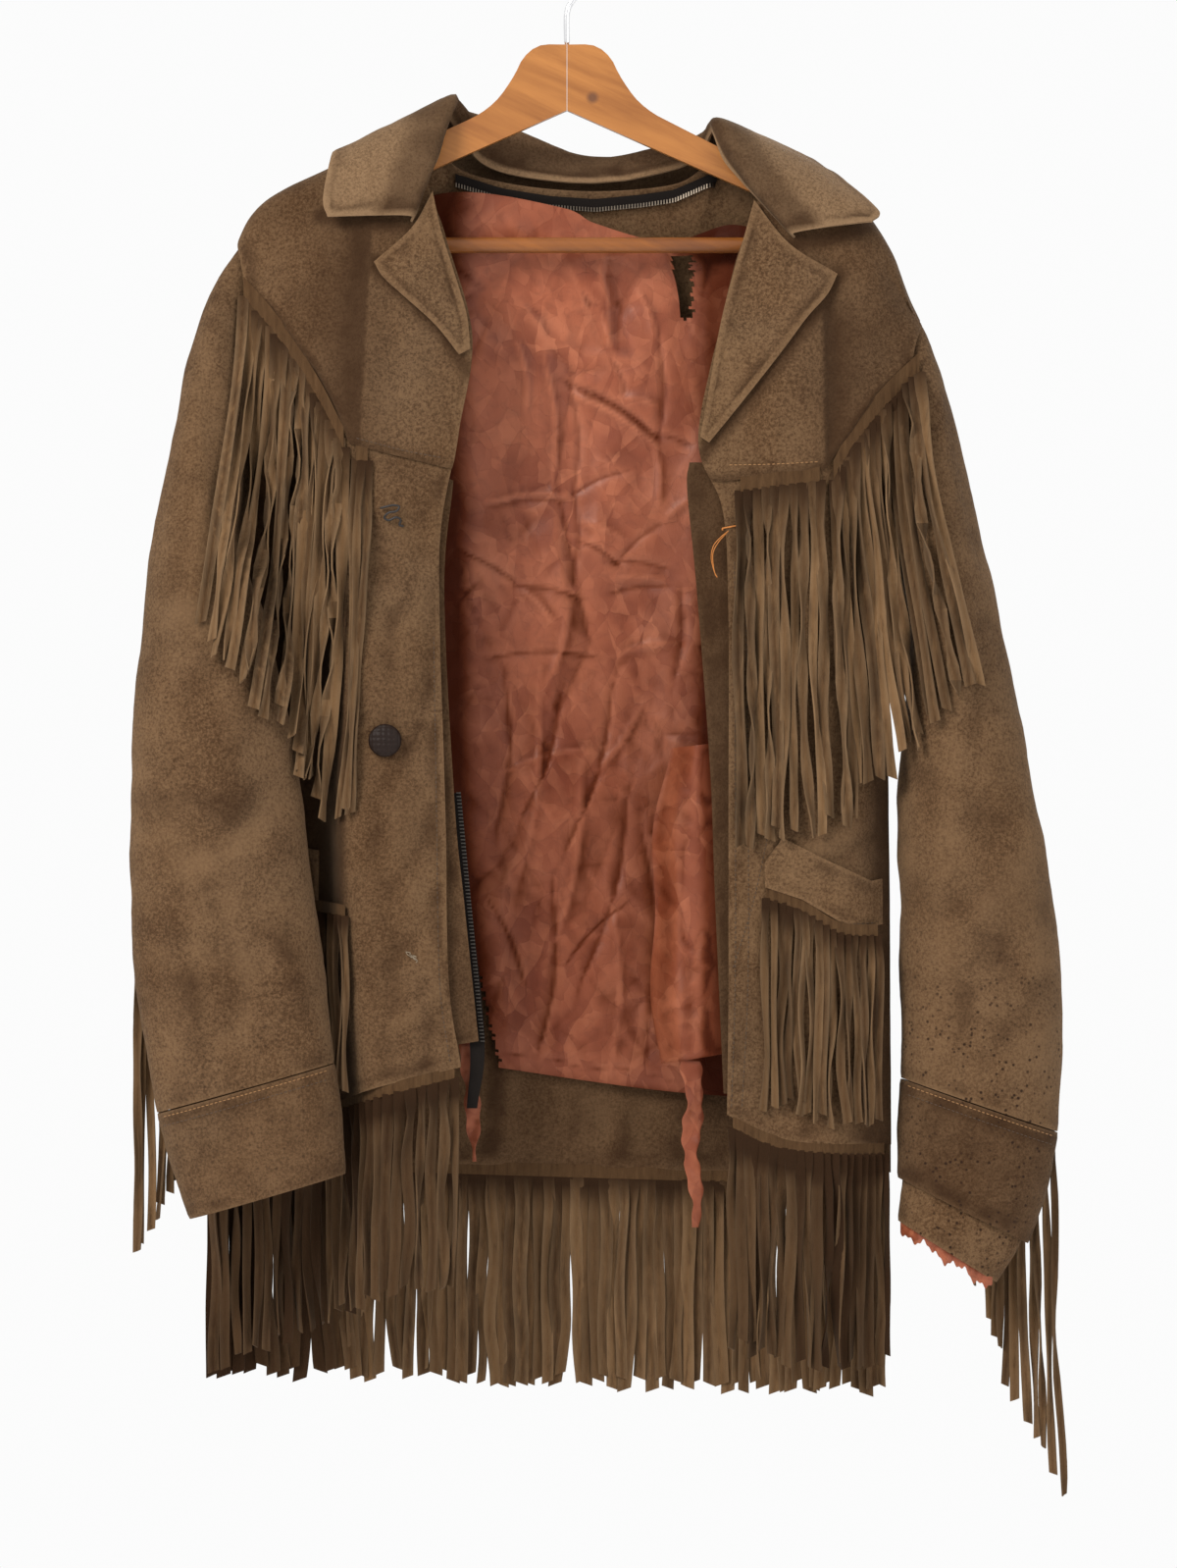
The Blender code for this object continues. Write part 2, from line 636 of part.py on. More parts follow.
def collar_and_lapels():
    """The lapels lie on the fronts, and the collar stands round the neck and falls over it."""
    lapel_under = ["front_right", "yoke_right", "front_left", "yoke_left"]
    for name, rows in (("lapel_right", LAPEL_RIGHT_ROWS), ("lapel_left", LAPEL_LEFT_ROWS)):
        grid = laid_on(net(rows, 5, 2), lapel_under, 2.0, FRONT)
        wall(name, grid, DOUBLED_SUEDE, "suede")
    wall("collar", net([list(row) for row in COLLAR_ROWS], 7, 2), DOUBLED_SUEDE, "suede")


def edges_and_lining():
    """Facing, edge band, zip tapes and the torn lining."""
    wall("facing_right", net(FACING_RIGHT_ROWS, 2, 2), SUEDE, "suede")
    wall("edge_band_left", net(EDGE_BAND_LEFT_ROWS, 2, 2), SUEDE, "suede")
    wall("zip_tape_front", net(ZIP_TAPE_FRONT_ROWS, 1, 3), TAPE, "zip_tape")
    lining = net(LINING_ROWS, 20, 2)
    neck = ["back", "zip_tape_neck"]
    for p in lining[0]:
        p.y = surface_y(neck, p.x, p.z, FRONT) - LINING_CLEARANCE
    for j in (0, 1):
        lining[j] = [kept_clear(p, neck, LINING_CLEARANCE, FRONT) for p in lining[j]]
    torn = []
    for j in range(len(lining) - 1):
        for i in range(len(lining[0]) - 1):
            centre = (lining[j][i] + lining[j + 1][i + 1]) / 2
            inside = SLIT_X[0] < centre.x < SLIT_X[1] and SLIT_DROP[0] < -centre.z < SLIT_DROP[1]
            if inside:
                torn.append((i, j))
    wall("lining_back", lining, SATIN, "lining", torn=torn)
    flap = laid_on(net(LINING_FLAP_ROWS, 4, 2), ["edge_band_left", "front_left"], 1.5, BACK)
    wall("lining_flap", flap, SATIN, "lining")
    wall("lining_strip", net(LINING_STRIP_ROWS, 1, 2), SATIN, "lining")


def neck_tape(grids):
    """The neck's zip tape, laid inside the back just under the collar."""
    top = [(-77, 157), (-44, 167), (-12, 172), (19, 174), (51, 171), (72, 168), (96, 158)]
    low = [(x, drop + 8) for x, drop in top]
    grid = overlay(grids["back"], 1, -(SUEDE + 1.0), low, top, (7, 13))
    wall("zip_tape_neck", grid, TAPE, "zip_tape")


def pocket_flaps(grids):
    """Pocket flaps, each laid on the points of its front."""
    lift = (SUEDE + DOUBLED_SUEDE) / 2 + 0.8
    left = overlay(grids["front_left"], 2, -lift, FLAP_LEFT_LOW, FLAP_LEFT_TOP, (2, 9))
    wall("pocket_flap_left", left, DOUBLED_SUEDE, "suede")
    right = overlay(grids["front_right"], 2, lift + 1.2, FLAP_RIGHT_LOW, FLAP_RIGHT_TOP, (6, 9))
    wall("pocket_flap_right", right, DOUBLED_SUEDE, "suede")


Fringe = namedtuple("Fringe", "root count width start end side levels drift clearance")

# Strands hang from start to end long, in millimetres, from one end of the root to the other
FRINGES = {
    "fringe_yoke_right": Fringe(ROOT_YOKE_RIGHT, 14, 4.4, 232, 242, FRONT, 7, (-24, -14), 3.0),
    "fringe_chest_right": Fringe(ROOT_CHEST_RIGHT, 2, 6.0, 240, 240, FRONT, 3, (-10, -10), 1.9),
    "fringe_yoke_left": Fringe(ROOT_YOKE_LEFT, 12, 4.4, 232, 212, FRONT, 5, (10, 38), 3.0),
    "fringe_chest_left": Fringe(ROOT_CHEST_LEFT, 8, 6.4, 234, 234, FRONT, 2, (2, 8), 3.0),
    "fringe_pocket_left": Fringe(ROOT_POCKET_LEFT, 11, 6.0, 126, 126, FRONT, 2, (0, 0), 1.9),
    "fringe_pocket_right": Fringe(ROOT_POCKET_RIGHT, 6, 6.0, 112, 112, FRONT, 2, (0, 0), 1.9),
    "fringe_hem_right": Fringe(ROOT_HEM_RIGHT, 18, 6.4, 138, 138, FRONT, 2, (0, 0), 1.9),
    "fringe_hem_left": Fringe(ROOT_HEM_LEFT, 14, 6.4, 142, 142, FRONT, 2, (0, 0), 1.9),
    "fringe_hem_back": Fringe(ROOT_HEM_BACK, 56, 6.8, 142, 142, BACK, 2, (0, 0), 1.9),
    "fringe_back_yoke": Fringe(ROOT_BACK_YOKE, 36, 7.6, 235, 235, BACK, 3, (0, 0), 2.4),
    "fringe_sleeve_right": Fringe(ROOT_SLEEVE_RIGHT, 8, 5.4, 235, 235, BACK, 3, (0, 0), 1.9),
    "fringe_sleeve_left": Fringe(ROOT_SLEEVE_LEFT, 13, 5.6, 238, 244, BACK, 4, (0, 6), 1.9),
}


def fringes():
    """Every fringe, each a comb hanging clear of what is under it."""
    under = {
        "fringe_yoke_right": ["front_right", "sleeve_right", "cuff_right"],
        "fringe_chest_right": ["front_right", "sleeve_right", "cuff_right"],
        "fringe_yoke_left": ["front_left", "sleeve_left", "cuff_left", "pocket_flap_left"],
        "fringe_chest_left": ["front_left", "sleeve_left", "cuff_left", "pocket_flap_left"],
        "fringe_pocket_left": ["front_left"],
        "fringe_pocket_right": ["front_right"],
        "fringe_back_yoke": ["back", "sleeve_right", "sleeve_left"],
        "fringe_sleeve_right": ["sleeve_right"],
        "fringe_sleeve_left": ["sleeve_left", "cuff_left"],
    }
    for name, cut in FRINGES.items():
        fringe(name, cut, under.get(name, []))


def sweep(name, path, radius, sides, colour):
    """A round rod along a path in the hanger's plane."""
    points = []
    for i, centre in enumerate(path):
        ahead = (path[min(i + 1, len(path) - 1)] - path[max(i - 1, 0)]).normalized()
        across = ahead.cross(Vector((0, 1, 0))).normalized()
        for k in range(sides):
            turn = 2 * math.pi * k / sides
            points.append(centre + (across * math.cos(turn) + Vector((0, math.sin(turn), 0))) * radius)
    faces = [list(range(sides)), list(range(len(points) - sides, len(points)))]
    for i in range(len(path) - 1):
        for k in range(sides):
            n = (k + 1) % sides
            faces.append([i * sides + k, i * sides + n, (i + 1) * sides + n, (i + 1) * sides + k])
    return add_solid(name, points, faces, colour)


def hanger():
    """Two mitred arms of flat wood, a trouser bar between them and a wire hook above."""
    top = [(0.15, 72), (18, 72.6), (29, 80.6), (35.6, 93), (46, 108), (57, 117.5), (66, 122.5)]
    seat = BAR_HALF + SEAM_GAP
    for name, side in (("hanger_arm_left", 1), ("hanger_arm_right", -1)):
        slope = ARM_SLOPES[side]
        run = [(160, 122.5 + (160 - 66) * slope), (172, 122.5 + (172 - 66) * slope)]
        tip = [(184, 181), (ARM_HALF_SPAN - 2, 188), (ARM_HALF_SPAN, 196), (ARM_HALF_SPAN - 2, 211)]
        below = [(seat, 215), (seat, 200), (160, 187), (0.15, 116.2)]
        outline = curve([place(x, drop, 0) for x, drop in top], 16)
        outline += [place(x, drop, 0) for x, drop in run + tip + below]
        points = []
        for y in (-ARM_THICK / 2, ARM_THICK / 2):
            points += [Vector((p.x * side, y, p.z)) for p in outline]
        count = len(outline)
        faces = [list(range(count)), list(range(count, 2 * count))]
        faces += [[k, (k + 1) % count, count + (k + 1) % count, count + k] for k in range(count)]
        add_solid(name, points, faces, "wood")
    bar = [place(-BAR_HALF, BAR_DROP, 0), place(BAR_HALF, BAR_DROP, 0)]
    sweep("hanger_bar", bar, BAR_RADIUS, 14, "wood")
    centre_drop = CROOK_RADIUS - WIRE_RADIUS
    path = []
    for k in range(15):
        turn = math.radians(205 - 255 * k / 14)
        drop = centre_drop - CROOK_RADIUS * math.sin(turn)
        path.append(place(CROOK_RADIUS * math.cos(turn), drop, 0))
    stem = curve([path[-1], place(4, 42, 0), place(0, 51, 0), place(0, STEM_FOOT, 0)], 6)
    sweep("hanger_hook", path + stem[1:], WIRE_RADIUS, 8, "chrome")


def button():
    """A covered button, domed at its front, seated on the right front."""
    x, drop = -121.4, 540
    seat = surface_y(["front_right"], x, -drop, FRONT) - 0.9
    profile = [(9.0, 0.0), (11.0, -1.2), (11.0, -3.2), (8.6, -5.4), (4.6, -6.4)]
    sides = 20
    points = []
    for radius, rise in profile:
        for k in range(sides):
            turn = 2 * math.pi * k / sides
            points.append(
                Vector((x + radius * math.cos(turn), seat + rise, -drop + radius * math.sin(turn)))
            )
    faces = [list(range(sides)), list(range(len(points) - sides, len(points)))]
    for i in range(len(profile) - 1):
        for k in range(sides):
            n = (k + 1) % sides
            faces.append([i * sides + k, i * sides + n, (i + 1) * sides + n, (i + 1) * sides + k])
    add_solid("button", points, faces, "button_leather")


def clear_scene():
    """Remove what the scene holds, and make the materials."""
    for item in list(bpy.data.objects):
        bpy.data.objects.remove(item, do_unlink=True)
    for name, (colour, roughness, metallic) in COLOURS.items():
        material = bpy.data.materials.new(name)
        material.use_nodes = True
        shader = material.node_tree.nodes["Principled BSDF"]
        shader.inputs["Base Color"].default_value = (*colour, 1.0)
        shader.inputs["Roughness"].default_value = roughness
        shader.inputs["Metallic"].default_value = metallic


def main():
    clear_scene()
    hanger()
    grids = cloth_panels()
    sleeves()
    yokes(grids)
    pocket_flaps(grids)
    collar_and_lapels()
    neck_tape(grids)
    edges_and_lining()
    button()
    fringes()


main()
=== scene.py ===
"""The looks of a suede fringe jacket on a flat wooden hanger.

Tables are in millimetres, as (x, drop, y): a drop is the distance below the hook's bearing point, which is
the origin, and y grows from the front of the jacket to its back. Left and right are the wearer's. Each
piece of cloth is a fine shell on the form of the node that it replaces, with its own creases. Two scraps of
lining, the stitches, the zips' teeth and the loose threads replace no node.
"""

import math
import random
from collections import namedtuple

import bpy
import numpy as np
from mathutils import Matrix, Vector, geometry, noise
from mathutils.bvhtree import BVHTree


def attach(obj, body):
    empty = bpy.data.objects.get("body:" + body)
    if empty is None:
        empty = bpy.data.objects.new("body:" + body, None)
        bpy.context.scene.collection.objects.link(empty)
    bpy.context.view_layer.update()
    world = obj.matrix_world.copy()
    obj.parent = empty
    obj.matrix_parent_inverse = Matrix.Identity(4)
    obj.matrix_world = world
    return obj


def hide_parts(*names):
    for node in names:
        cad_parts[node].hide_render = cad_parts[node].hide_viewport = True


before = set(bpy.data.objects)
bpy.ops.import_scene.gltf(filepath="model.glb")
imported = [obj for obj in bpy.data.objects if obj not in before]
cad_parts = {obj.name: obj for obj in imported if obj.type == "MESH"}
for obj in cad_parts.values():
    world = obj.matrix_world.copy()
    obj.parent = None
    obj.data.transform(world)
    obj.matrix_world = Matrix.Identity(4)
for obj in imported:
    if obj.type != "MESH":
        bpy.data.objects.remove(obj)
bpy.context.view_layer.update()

MM = 0.001
BODY = "root"

# Cloth
SUEDE = 2.0
DOUBLED_SUEDE = 2.6
SATIN = 0.8
TAPE = 1.0
YOKE_LIFT = 3.5
FLAP_LIFT = 3.1
RAW_EDGE = 0.55

# Columns of the shells' grids and the pitch of their rows
FRONT_COLUMNS = 84
FRONT_PITCH = 4.0
BACK_COLUMNS = 120
BACK_PITCH = 4.5
SLEEVE_COLUMNS = 96
SLEEVE_PITCH = 4.5
CUFF_PITCH = 3.5
LINING_COLUMNS = 164
LINING_PITCH = 2.2

# Hanger
BAR_RADIUS = 5.3
BAR_DROP = 206.6
BAR_HALF = 180.0
WIRE_RADIUS = 2.0
CROOK_RADIUS = 20.0
STEM_FOOT = 71.6

# Fringe
STRAND_THICK = 1.3

FRONT = -1.0
BACK = 1.0
FAR = 400.0
SEED = 7

SURFACES = {}
MATERIALS = {}


Ring = namedtuple("Ring", "outer_x outer_drop inner_x inner_drop centre_y half_depth")

# Shoulder lines, from the neck to the sleeve, as (x, drop)
SHOULDER_RIGHT = [(-93, 124), (-130, 142), (-156, 157), (-190, 173.5), (-208, 188), (-218.7, 208)]
SHOULDER_LEFT = [(106, 134.5), (140, 148), (170, 163), (190, 177), (203, 194), (214, 214), (226, 242),
                 (235.5, 261)]
RIDGE_Y = 1.2
SHOULDER_FALL = 6.0
SHOULDER_DEPTH = 12.0


def shoulder_rows(line, side):
    """The two rows of a panel at the ridge of the shoulder and just below it."""
    ridge = [(x, drop, side * RIDGE_Y) for x, drop in line]
    below = [(x, drop + SHOULDER_FALL, side * SHOULDER_DEPTH) for x, drop in line]
    below[-1] = (line[-1][0], line[-1][1] + SHOULDER_FALL, side * SHOULDER_DEPTH / 2)
    return [ridge, below]


FrontRow = namedtuple("FrontRow", "edge fold recess side")

# The wearer's right front: its edge rolls, it creases forward at the fold and falls back to the side
FRONT_RIGHT_ROWS = [
    FrontRow((-95, 160, -18), (-130, 172, -20), (-175, 196, -18), (-217.9, 235, -10.5)),
    FrontRow((-81, 205, -25), (-136, 210, -28), (-180, 226, -24), (-217.2, 262, -16)),
    FrontRow((-63.4, 270, -32), (-141, 275, -36), (-178, 285, -26), (-216, 300, -18)),
    FrontRow((-72, 332, -36), (-144, 340, -41), (-172, 346, -16), (-214.5, 350, -15.2)),
    FrontRow((-84, 396, -38), (-140, 395, -42), (-166, 398, -6), (-213.2, 396, 0.2)),
    FrontRow((-85, 460, -40), (-142, 460, -43), (-167, 460, -1), (-222, 455, 4.6)),
    FrontRow((-81, 590, -42), (-145, 590, -45), (-170, 592, 2), (-235, 590, 7.6)),
    FrontRow((-79, 700, -42), (-137, 712, -44), (-163, 720, 2), (-241, 715, 9.6)),
    FrontRow((-70.6, 758, -42), (-131, 773, -43), (-158, 786, 4), (-243, 822, 11.6)),
]

# The wearer's left front: the fold is the crease below the yoke's corner
FRONT_LEFT_ROWS = [
    FrontRow((129, 170, -18), (155, 180, -22), (190, 200, -22), (236.5, 266, -10)),
    FrontRow((113.5, 220, -27), (155, 225, -31), (192, 236, -30), (232.8, 280, -22.4)),
    FrontRow((103, 262, -33), (152, 270, -38), (190, 288, -36), (224.1, 330, -30)),
    FrontRow((88, 340, -37), (140, 348, -43), (178, 352, -42), (217.1, 370, -25.4)),
    FrontRow((104, 385, -39), (145, 388, -43), (180, 390, -40), (212.2, 398, -7.9)),
    FrontRow((108, 450, -40), (146, 450, -43), (186, 450, -38), (214, 450, -9.9)),
    FrontRow((108, 600, -42), (150, 600, -44), (188, 600, -36), (216, 600, -9.9)),
    FrontRow((108, 715, -42), (150, 718, -43), (188, 718, -37), (217, 720, -9.9)),
    FrontRow((107, 790, -41), (140, 805, -42), (178, 810, -38), (217.5, 811, -9.9)),
]

NECK_BACK = [(-83, 141, 14), (-72, 155, 17), (-33, 165, 21), (19, 169, 24), (70, 165, 21), (90, 155, 16),
             (100, 144, 11)]

BackRow = namedtuple("BackRow", "right_side right middle left left_side")

BACK_ROWS = [
    BackRow((-217.2, 262, 20), (-130, 240, 30), (10, 232, 33), (140, 245, 30), (232.8, 280, 10.4)),
    BackRow((-215.5, 330, 21), (-130, 320, 33), (5, 315, 35), (140, 322, 32), (224.1, 330, 18)),
    BackRow((-213.2, 395, 3.8), (-140, 400, 32), (0, 400, 36), (140, 400, 31), (212.2, 398, -4.1)),
    BackRow((-222, 455, 8.2), (-145, 460, 34), (-5, 460, 36), (140, 460, 33), (214, 450, -6.1)),
    BackRow((-235, 590, 11.2), (-150, 600, 36), (-10, 600, 38), (140, 600, 35), (216, 600, -6.1)),
    BackRow((-241, 715, 13.2), (-150, 720, 37), (-15, 720, 39), (140, 720, 35), (217, 720, -6.1)),
    BackRow((-243, 822, 15.2), (-150, 824, 38), (-20, 828, 40), (130, 832, 36), (217.5, 830, -6.1)),
]

# The sleeves' rings run from the armhole to the cuff
SLEEVE_RIGHT = [
    Ring(-220.5, 210, -215, 396, 2, 20),
    Ring(-236, 236, -217, 404, -6, 28),
    Ring(-253, 285, -218, 418, -16, 34),
    Ring(-264, 345, -212, 434, -30, 36),
    Ring(-275, 400, -203, 455, -38, 38),
    Ring(-283, 470, -193, 500, -42, 38),
    Ring(-290, 535, -183, 545, -44, 38),
    Ring(-290.5, 605, -175, 605, -45, 37),
    Ring(-289.5, 668, -168, 660, -46, 36),
    Ring(-284, 718, -161, 712, -46, 34),
    Ring(-273, 788, -156, 755, -46, 32),
]
CUFF_RIGHT = [
    Ring(-272.6, 788.8, -155.8, 755.8, -46, 32),
    Ring(-262, 826, -151, 794, -46, 30),
    Ring(-251, 859, -148.5, 829, -46, 28),
]
SLEEVE_LEFT = [
    Ring(238.6, 263, 214.4, 399, -6, 24),
    Ring(246, 282, 218, 405, -8, 29),
    Ring(256, 312, 222, 420, -10, 34),
    Ring(268, 360, 227, 440, -11, 37),
    Ring(281, 418, 231, 468, -12, 38),
    Ring(297, 493, 228, 515, -12, 38),
    Ring(311.5, 570, 223.5, 582, -12, 39),
    Ring(325, 640, 224, 652, -12, 38),
    Ring(331, 728, 225.5, 715, -12, 34),
    Ring(329, 802, 225, 766, -12, 31),
]
CUFF_LEFT = [
    Ring(328.8, 802.8, 224.8, 766.8, -12, 31),
    Ring(322, 840, 223.5, 800, -12, 29),
    Ring(309, 877, 223, 833, -12, 27),
]
CUFF_INNER_LEFT = [
    Ring(316.5, 838.5, 226.4, 801, -12, 26),
    Ring(305, 874, 226, 832, -12, 24.3),
    Ring(288, 903, 223, 862, -12, 24),
]

# The sleeves' seam allowances, inside the armholes
SLEEVE_TUCK_RIGHT = Ring(-215, 204, -208, 398, 3, 15)
SLEEVE_TUCK_LEFT = Ring(232.5, 258, 208, 401, -5, 18)

CollarRow = namedtuple("CollarRow", "base roll fall")

# Round the neck from the wearer's right notch to the left one
COLLAR_ROWS = [
    CollarRow((-104, 193, -33), (-108, 189, -38), (-160, 190, -39)),
    CollarRow((-95, 166, -26), (-96, 157, -34), (-163, 178, -36)),
    CollarRow((-86, 148, -17), (-88, 126, -22), (-158, 149, -18)),
    CollarRow((-81, 123.5, -7.5), (-80, 109, -9), (-155, 145, 0)),
    CollarRow((-79, 123, 7.5), (-77, 110, 10), (-146, 149, 22)),
    CollarRow((-58, 150, 17), (-56, 122, 26), (-104, 196, 42)),
    CollarRow((-24, 160, 23), (-24, 133, 37), (-36, 216, 48)),
    CollarRow((19, 163, 26), (19, 148, 42), (19, 222, 50)),
    CollarRow((62, 157, 23), (62, 142, 36), (76, 214, 47)),
    CollarRow((88, 147, 17), (92, 133, 23), (130, 190, 40)),
    CollarRow((97, 132.5, 7.5), (102, 123, 8), (158, 148, 24)),
    CollarRow((99, 132.5, -7.5), (106, 125, -9), (178, 157, 4)),
    CollarRow((106, 151, -16), (117, 139, -21), (191, 168, -12)),
    CollarRow((124, 172, -25), (129, 163, -33), (209, 186, -32)),
    CollarRow((152, 204, -35), (155, 200, -41), (204, 193, -41)),
]

LAPEL_RIGHT_ROWS = [
    [(-90, 172, -27), (-104, 197, -30), (-129, 220, -32)],
    [(-84, 199, -28), (-99, 215, -32), (-123, 230, -33)],
    [(-75, 228, -30), (-90, 236, -33), (-110, 242, -34)],
    [(-67, 255, -33), (-77, 259, -35), (-88, 262, -36)],
    [(-64.5, 278, -35), (-68, 280, -36), (-72, 282, -37)],
]
LAPEL_LEFT_ROWS = [
    [(125.5, 178, -26), (149, 208, -32), (181, 228, -34)],
    [(118, 205, -28), (144, 227, -34), (174, 242, -36)],
    [(109, 236, -32), (134, 250, -36), (160, 258, -38)],
    [(102, 265, -35), (121, 275, -38), (143, 281, -40)],
    [(95, 305, -38), (104, 313, -40), (113, 319, -42)],
    [(89, 337, -40), (92, 339, -41), (95, 341, -42)],
]
FACING_RIGHT_ROWS = [
    [(-112, 352, -33), (-76, 366, -31)],
    [(-112, 440, -34.5), (-82, 440, -33)],
    [(-112, 583, -37), (-75, 583, -35)],
    [(-108, 649, -37), (-68.6, 649, -35)],
    [(-104, 748, -37), (-59, 741, -35)],
]
EDGE_BAND_LEFT_ROWS = [
    [(82, 354, -35), (109, 354, -36)],
    [(80.5, 372, -33), (112, 372, -35)],
    [(87, 440, -33), (114, 440, -36)],
    [(96, 560, -34), (116, 560, -38)],
    [(99, 640, -34), (117, 640, -38)],
    [(105, 776, -34), (120, 776, -38)],
]
ZIP_TAPE_FRONT_ROWS = [
    [(-81, 575, -31), (-71, 575, -31)],
    [(-74, 649, -31), (-64, 649, -31)],
    [(-65, 741, -31), (-55, 741, -31)],
    [(-67, 786, -31), (-60, 786, -31)],
]
LINING_TOP = [(-140, 190, 9), (-77, 170, 12), (-4, 180, 17), (20, 191, 19), (68, 203, 19), (110, 192, 12),
              (140, 200, 9)]
LINING_ROWS = [
    LINING_TOP,
    [(-170, 240, 13), (-90, 240, 22), (0, 240, 26), (90, 240, 22), (170, 250, 13)],
    [(-180, 330, 14), (-90, 330, 26), (0, 330, 30), (90, 330, 26), (178, 330, 12)],
    [(-180, 400, 9), (-90, 400, 27), (0, 400, 30), (90, 400, 26), (178, 400, 5)],
    [(-182, 520, 14), (-90, 520, 29), (0, 520, 32), (90, 520, 28), (180, 520, 6)],
    [(-184, 650, 15), (-90, 650, 30), (0, 650, 33), (90, 650, 29), (180, 650, 6)],
    [(-184, 750, 15), (-100, 752, 30), (-45, 761, 33), (71, 777, 30), (180, 783, 6)],
]
LINING_FLAP_ROWS = [
    [(68, 545, -28), (116, 540, -40)],
    [(60, 600, -22), (114, 600, -40)],
    [(57, 680, -20), (112, 680, -40)],
    [(62, 757, -20), (114, 748, -40)],
]
LINING_STRIP_ROWS = [
    [(78, 755.6, -24), (88, 753.9, -26.6)],
    [(80, 810, -23), (90, 810, -25)],
    [(81, 866, -22), (89, 866, -24)],
]
TAPE_WIDTH = 8
NECK_TAPE_TOP = [(-77, 157), (-44, 167), (-12, 172), (19, 174), (51, 171), (72, 168), (96, 158)]
SLIT_X = (70, 88)
SLIT_DROP = (212, 256)

# Lower lines of the yokes and lines of the pocket flaps, as (x, drop)
YOKE_RIGHT_LINE = [(-225, 232), (-196, 254), (-166, 298), (-145, 342), (-79, 358)]
YOKE_LEFT_LINE = [(90, 364), (103, 367), (173.6, 358), (206, 312), (238, 284)]
YOKE_BACK_LINE = [(-222, 254), (-160, 268), (-80, 308), (5, 326), (90, 310), (170, 288), (238, 284)]
FLAP_LEFT_TOP = [(126, 630), (144, 605), (172, 619), (204, 634), (224, 630)]
FLAP_LEFT_LOW = [(126, 636), (157, 646), (182, 661), (199, 665), (224, 661)]
FLAP_RIGHT_TOP = [(-240, 600), (-144, 618)]
FLAP_RIGHT_LOW = [(-240, 640), (-144, 650)]

# Roots of the fringes as (x, drop, y)
ROOTS = {
    "yoke_right": [(-217, 241.5, -18), (-194, 268, -24), (-167, 309, -34), (-149, 344, -42)],
    "chest_right": [(-141, 352, -42), (-133, 353, -42)],
    "yoke_left": [(178, 366, -42), (190, 344, -40), (212, 316, -34), (236, 293, -18)],
    "chest_left": [(116, 373, -42), (169, 366, -42)],
    "pocket_left": [(133, 645, -44), (157, 653, -44), (182, 668, -42), (208, 670, -34)],
    "pocket_right": [(-148, 657, -36), (-160, 655, -10), (-200, 651, 0)],
    "hem_right": [(-75, 764.7, -42), (-126, 778, -43), (-160, 792.2, 3), (-238, 826.8, 11)],
    "hem_left": [(111, 798, -41), (140, 810.8, -42), (178, 815.6, -38), (213, 816.8, -14)],
    "hem_back": [(-238, 828, 17), (-150, 829.8, 38), (-20, 833.8, 40), (130, 837.8, 36), (213, 836, -2)],
    "back_yoke": [(-206, 271, 22), (-160, 283, 30), (-80, 319, 34), (5, 337, 35), (90, 321, 34),
                  (178, 298, 28)],
    "sleeve_right": [(-234, 545, -30), (-287, 650, -40)],
    "sleeve_left": [(234, 570, -8), (280, 680, 0), (326, 800, -8)],
}


def placed(points):
    """Points from rows of x, drop and y."""
    return np.array([(x, y, -drop) for x, drop, y in points], float)


def smooth_at(points, at):
    """Points on a smooth curve through the given ones, at fractional places along them."""
    ends = np.concatenate([[2 * points[0] - points[1]], points, [2 * points[-1] - points[-2]]])
    i = np.clip(at.astype(int), 0, len(points) - 2)
    t = (at - i).reshape(-1, *[1] * (points.ndim - 1))
    a, b, c, d = ends[i], ends[i + 1], ends[i + 2], ends[i + 3]
    bend = (2 * a - 5 * b + 4 * c - d) * t**2 + (3 * b - a - 3 * c + d) * t**3
    return 0.5 * (2 * b + (c - a) * t + bend)


def curve(points, count):
    """Evenly spaced points on a smooth curve through the given ones."""
    points = np.asarray(points, float)
    fine = smooth_at(points, np.linspace(0, len(points) - 1, 8 * (len(points) - 1) + 1))
    reach = np.concatenate([[0], np.cumsum(np.linalg.norm(np.diff(fine, axis=0), axis=1))])
    want = np.linspace(0, reach[-1], count)
    return np.stack([np.interp(want, reach, fine[:, k]) for k in range(3)], axis=1)


def between(lines, pitch):
    """Rows on the smooth surface through the given lines, about pitch apart."""
    gaps = np.linalg.norm(np.diff(lines, axis=0), axis=2).mean(axis=1)
    at = []
    for i, gap in enumerate(gaps):
        steps = max(1, round(gap / pitch))
        at += [i + k / steps for k in range(steps)]
    return smooth_at(lines, np.array(at + [len(lines) - 1.0]))


def net(rows, across, pitch):
    """A grid of points on the smooth surface through the rows of a table."""
    return between(np.array([curve(placed(row), across + 1) for row in rows]), pitch)


def normals(grid, closed=False):
    """A unit normal for each point of a grid."""
    if closed:
        across = np.roll(grid, -1, axis=1) - np.roll(grid, 1, axis=1)
    else:
        across = np.gradient(grid, axis=1)
    found = np.cross(across, np.gradient(grid, axis=0))
    return found / np.maximum(np.linalg.norm(found, axis=2, keepdims=True), 1e-9)


def moved_out(grid, distance):
    """The grid moved along its normals."""
    return grid + normals(grid) * distance


def soft_step(low, high, value):
    """0 below low, 1 above high, and smooth between them."""
    t = np.clip((np.asarray(value, float) - low) / (high - low), 0, 1)
    return t * t * (3 - 2 * t)


def rumple(grid, scale, seed, octaves=2):
    """Smooth noise from about -1 to 1 at each point, with bumps about scale wide."""
    found = np.zeros(grid.shape[:2])
    shift = Vector((seed * 7.31, seed * 3.17, seed * 5.77))
    for j, row in enumerate(grid):
        for i, p in enumerate(row):
            at = Vector(p) / scale + shift
            found[j, i] = noise.fractal(at, 1.0, 2.0, octaves)
    return found


Crease = namedtuple("Crease", "x0 drop0 x1 drop1 width depth")


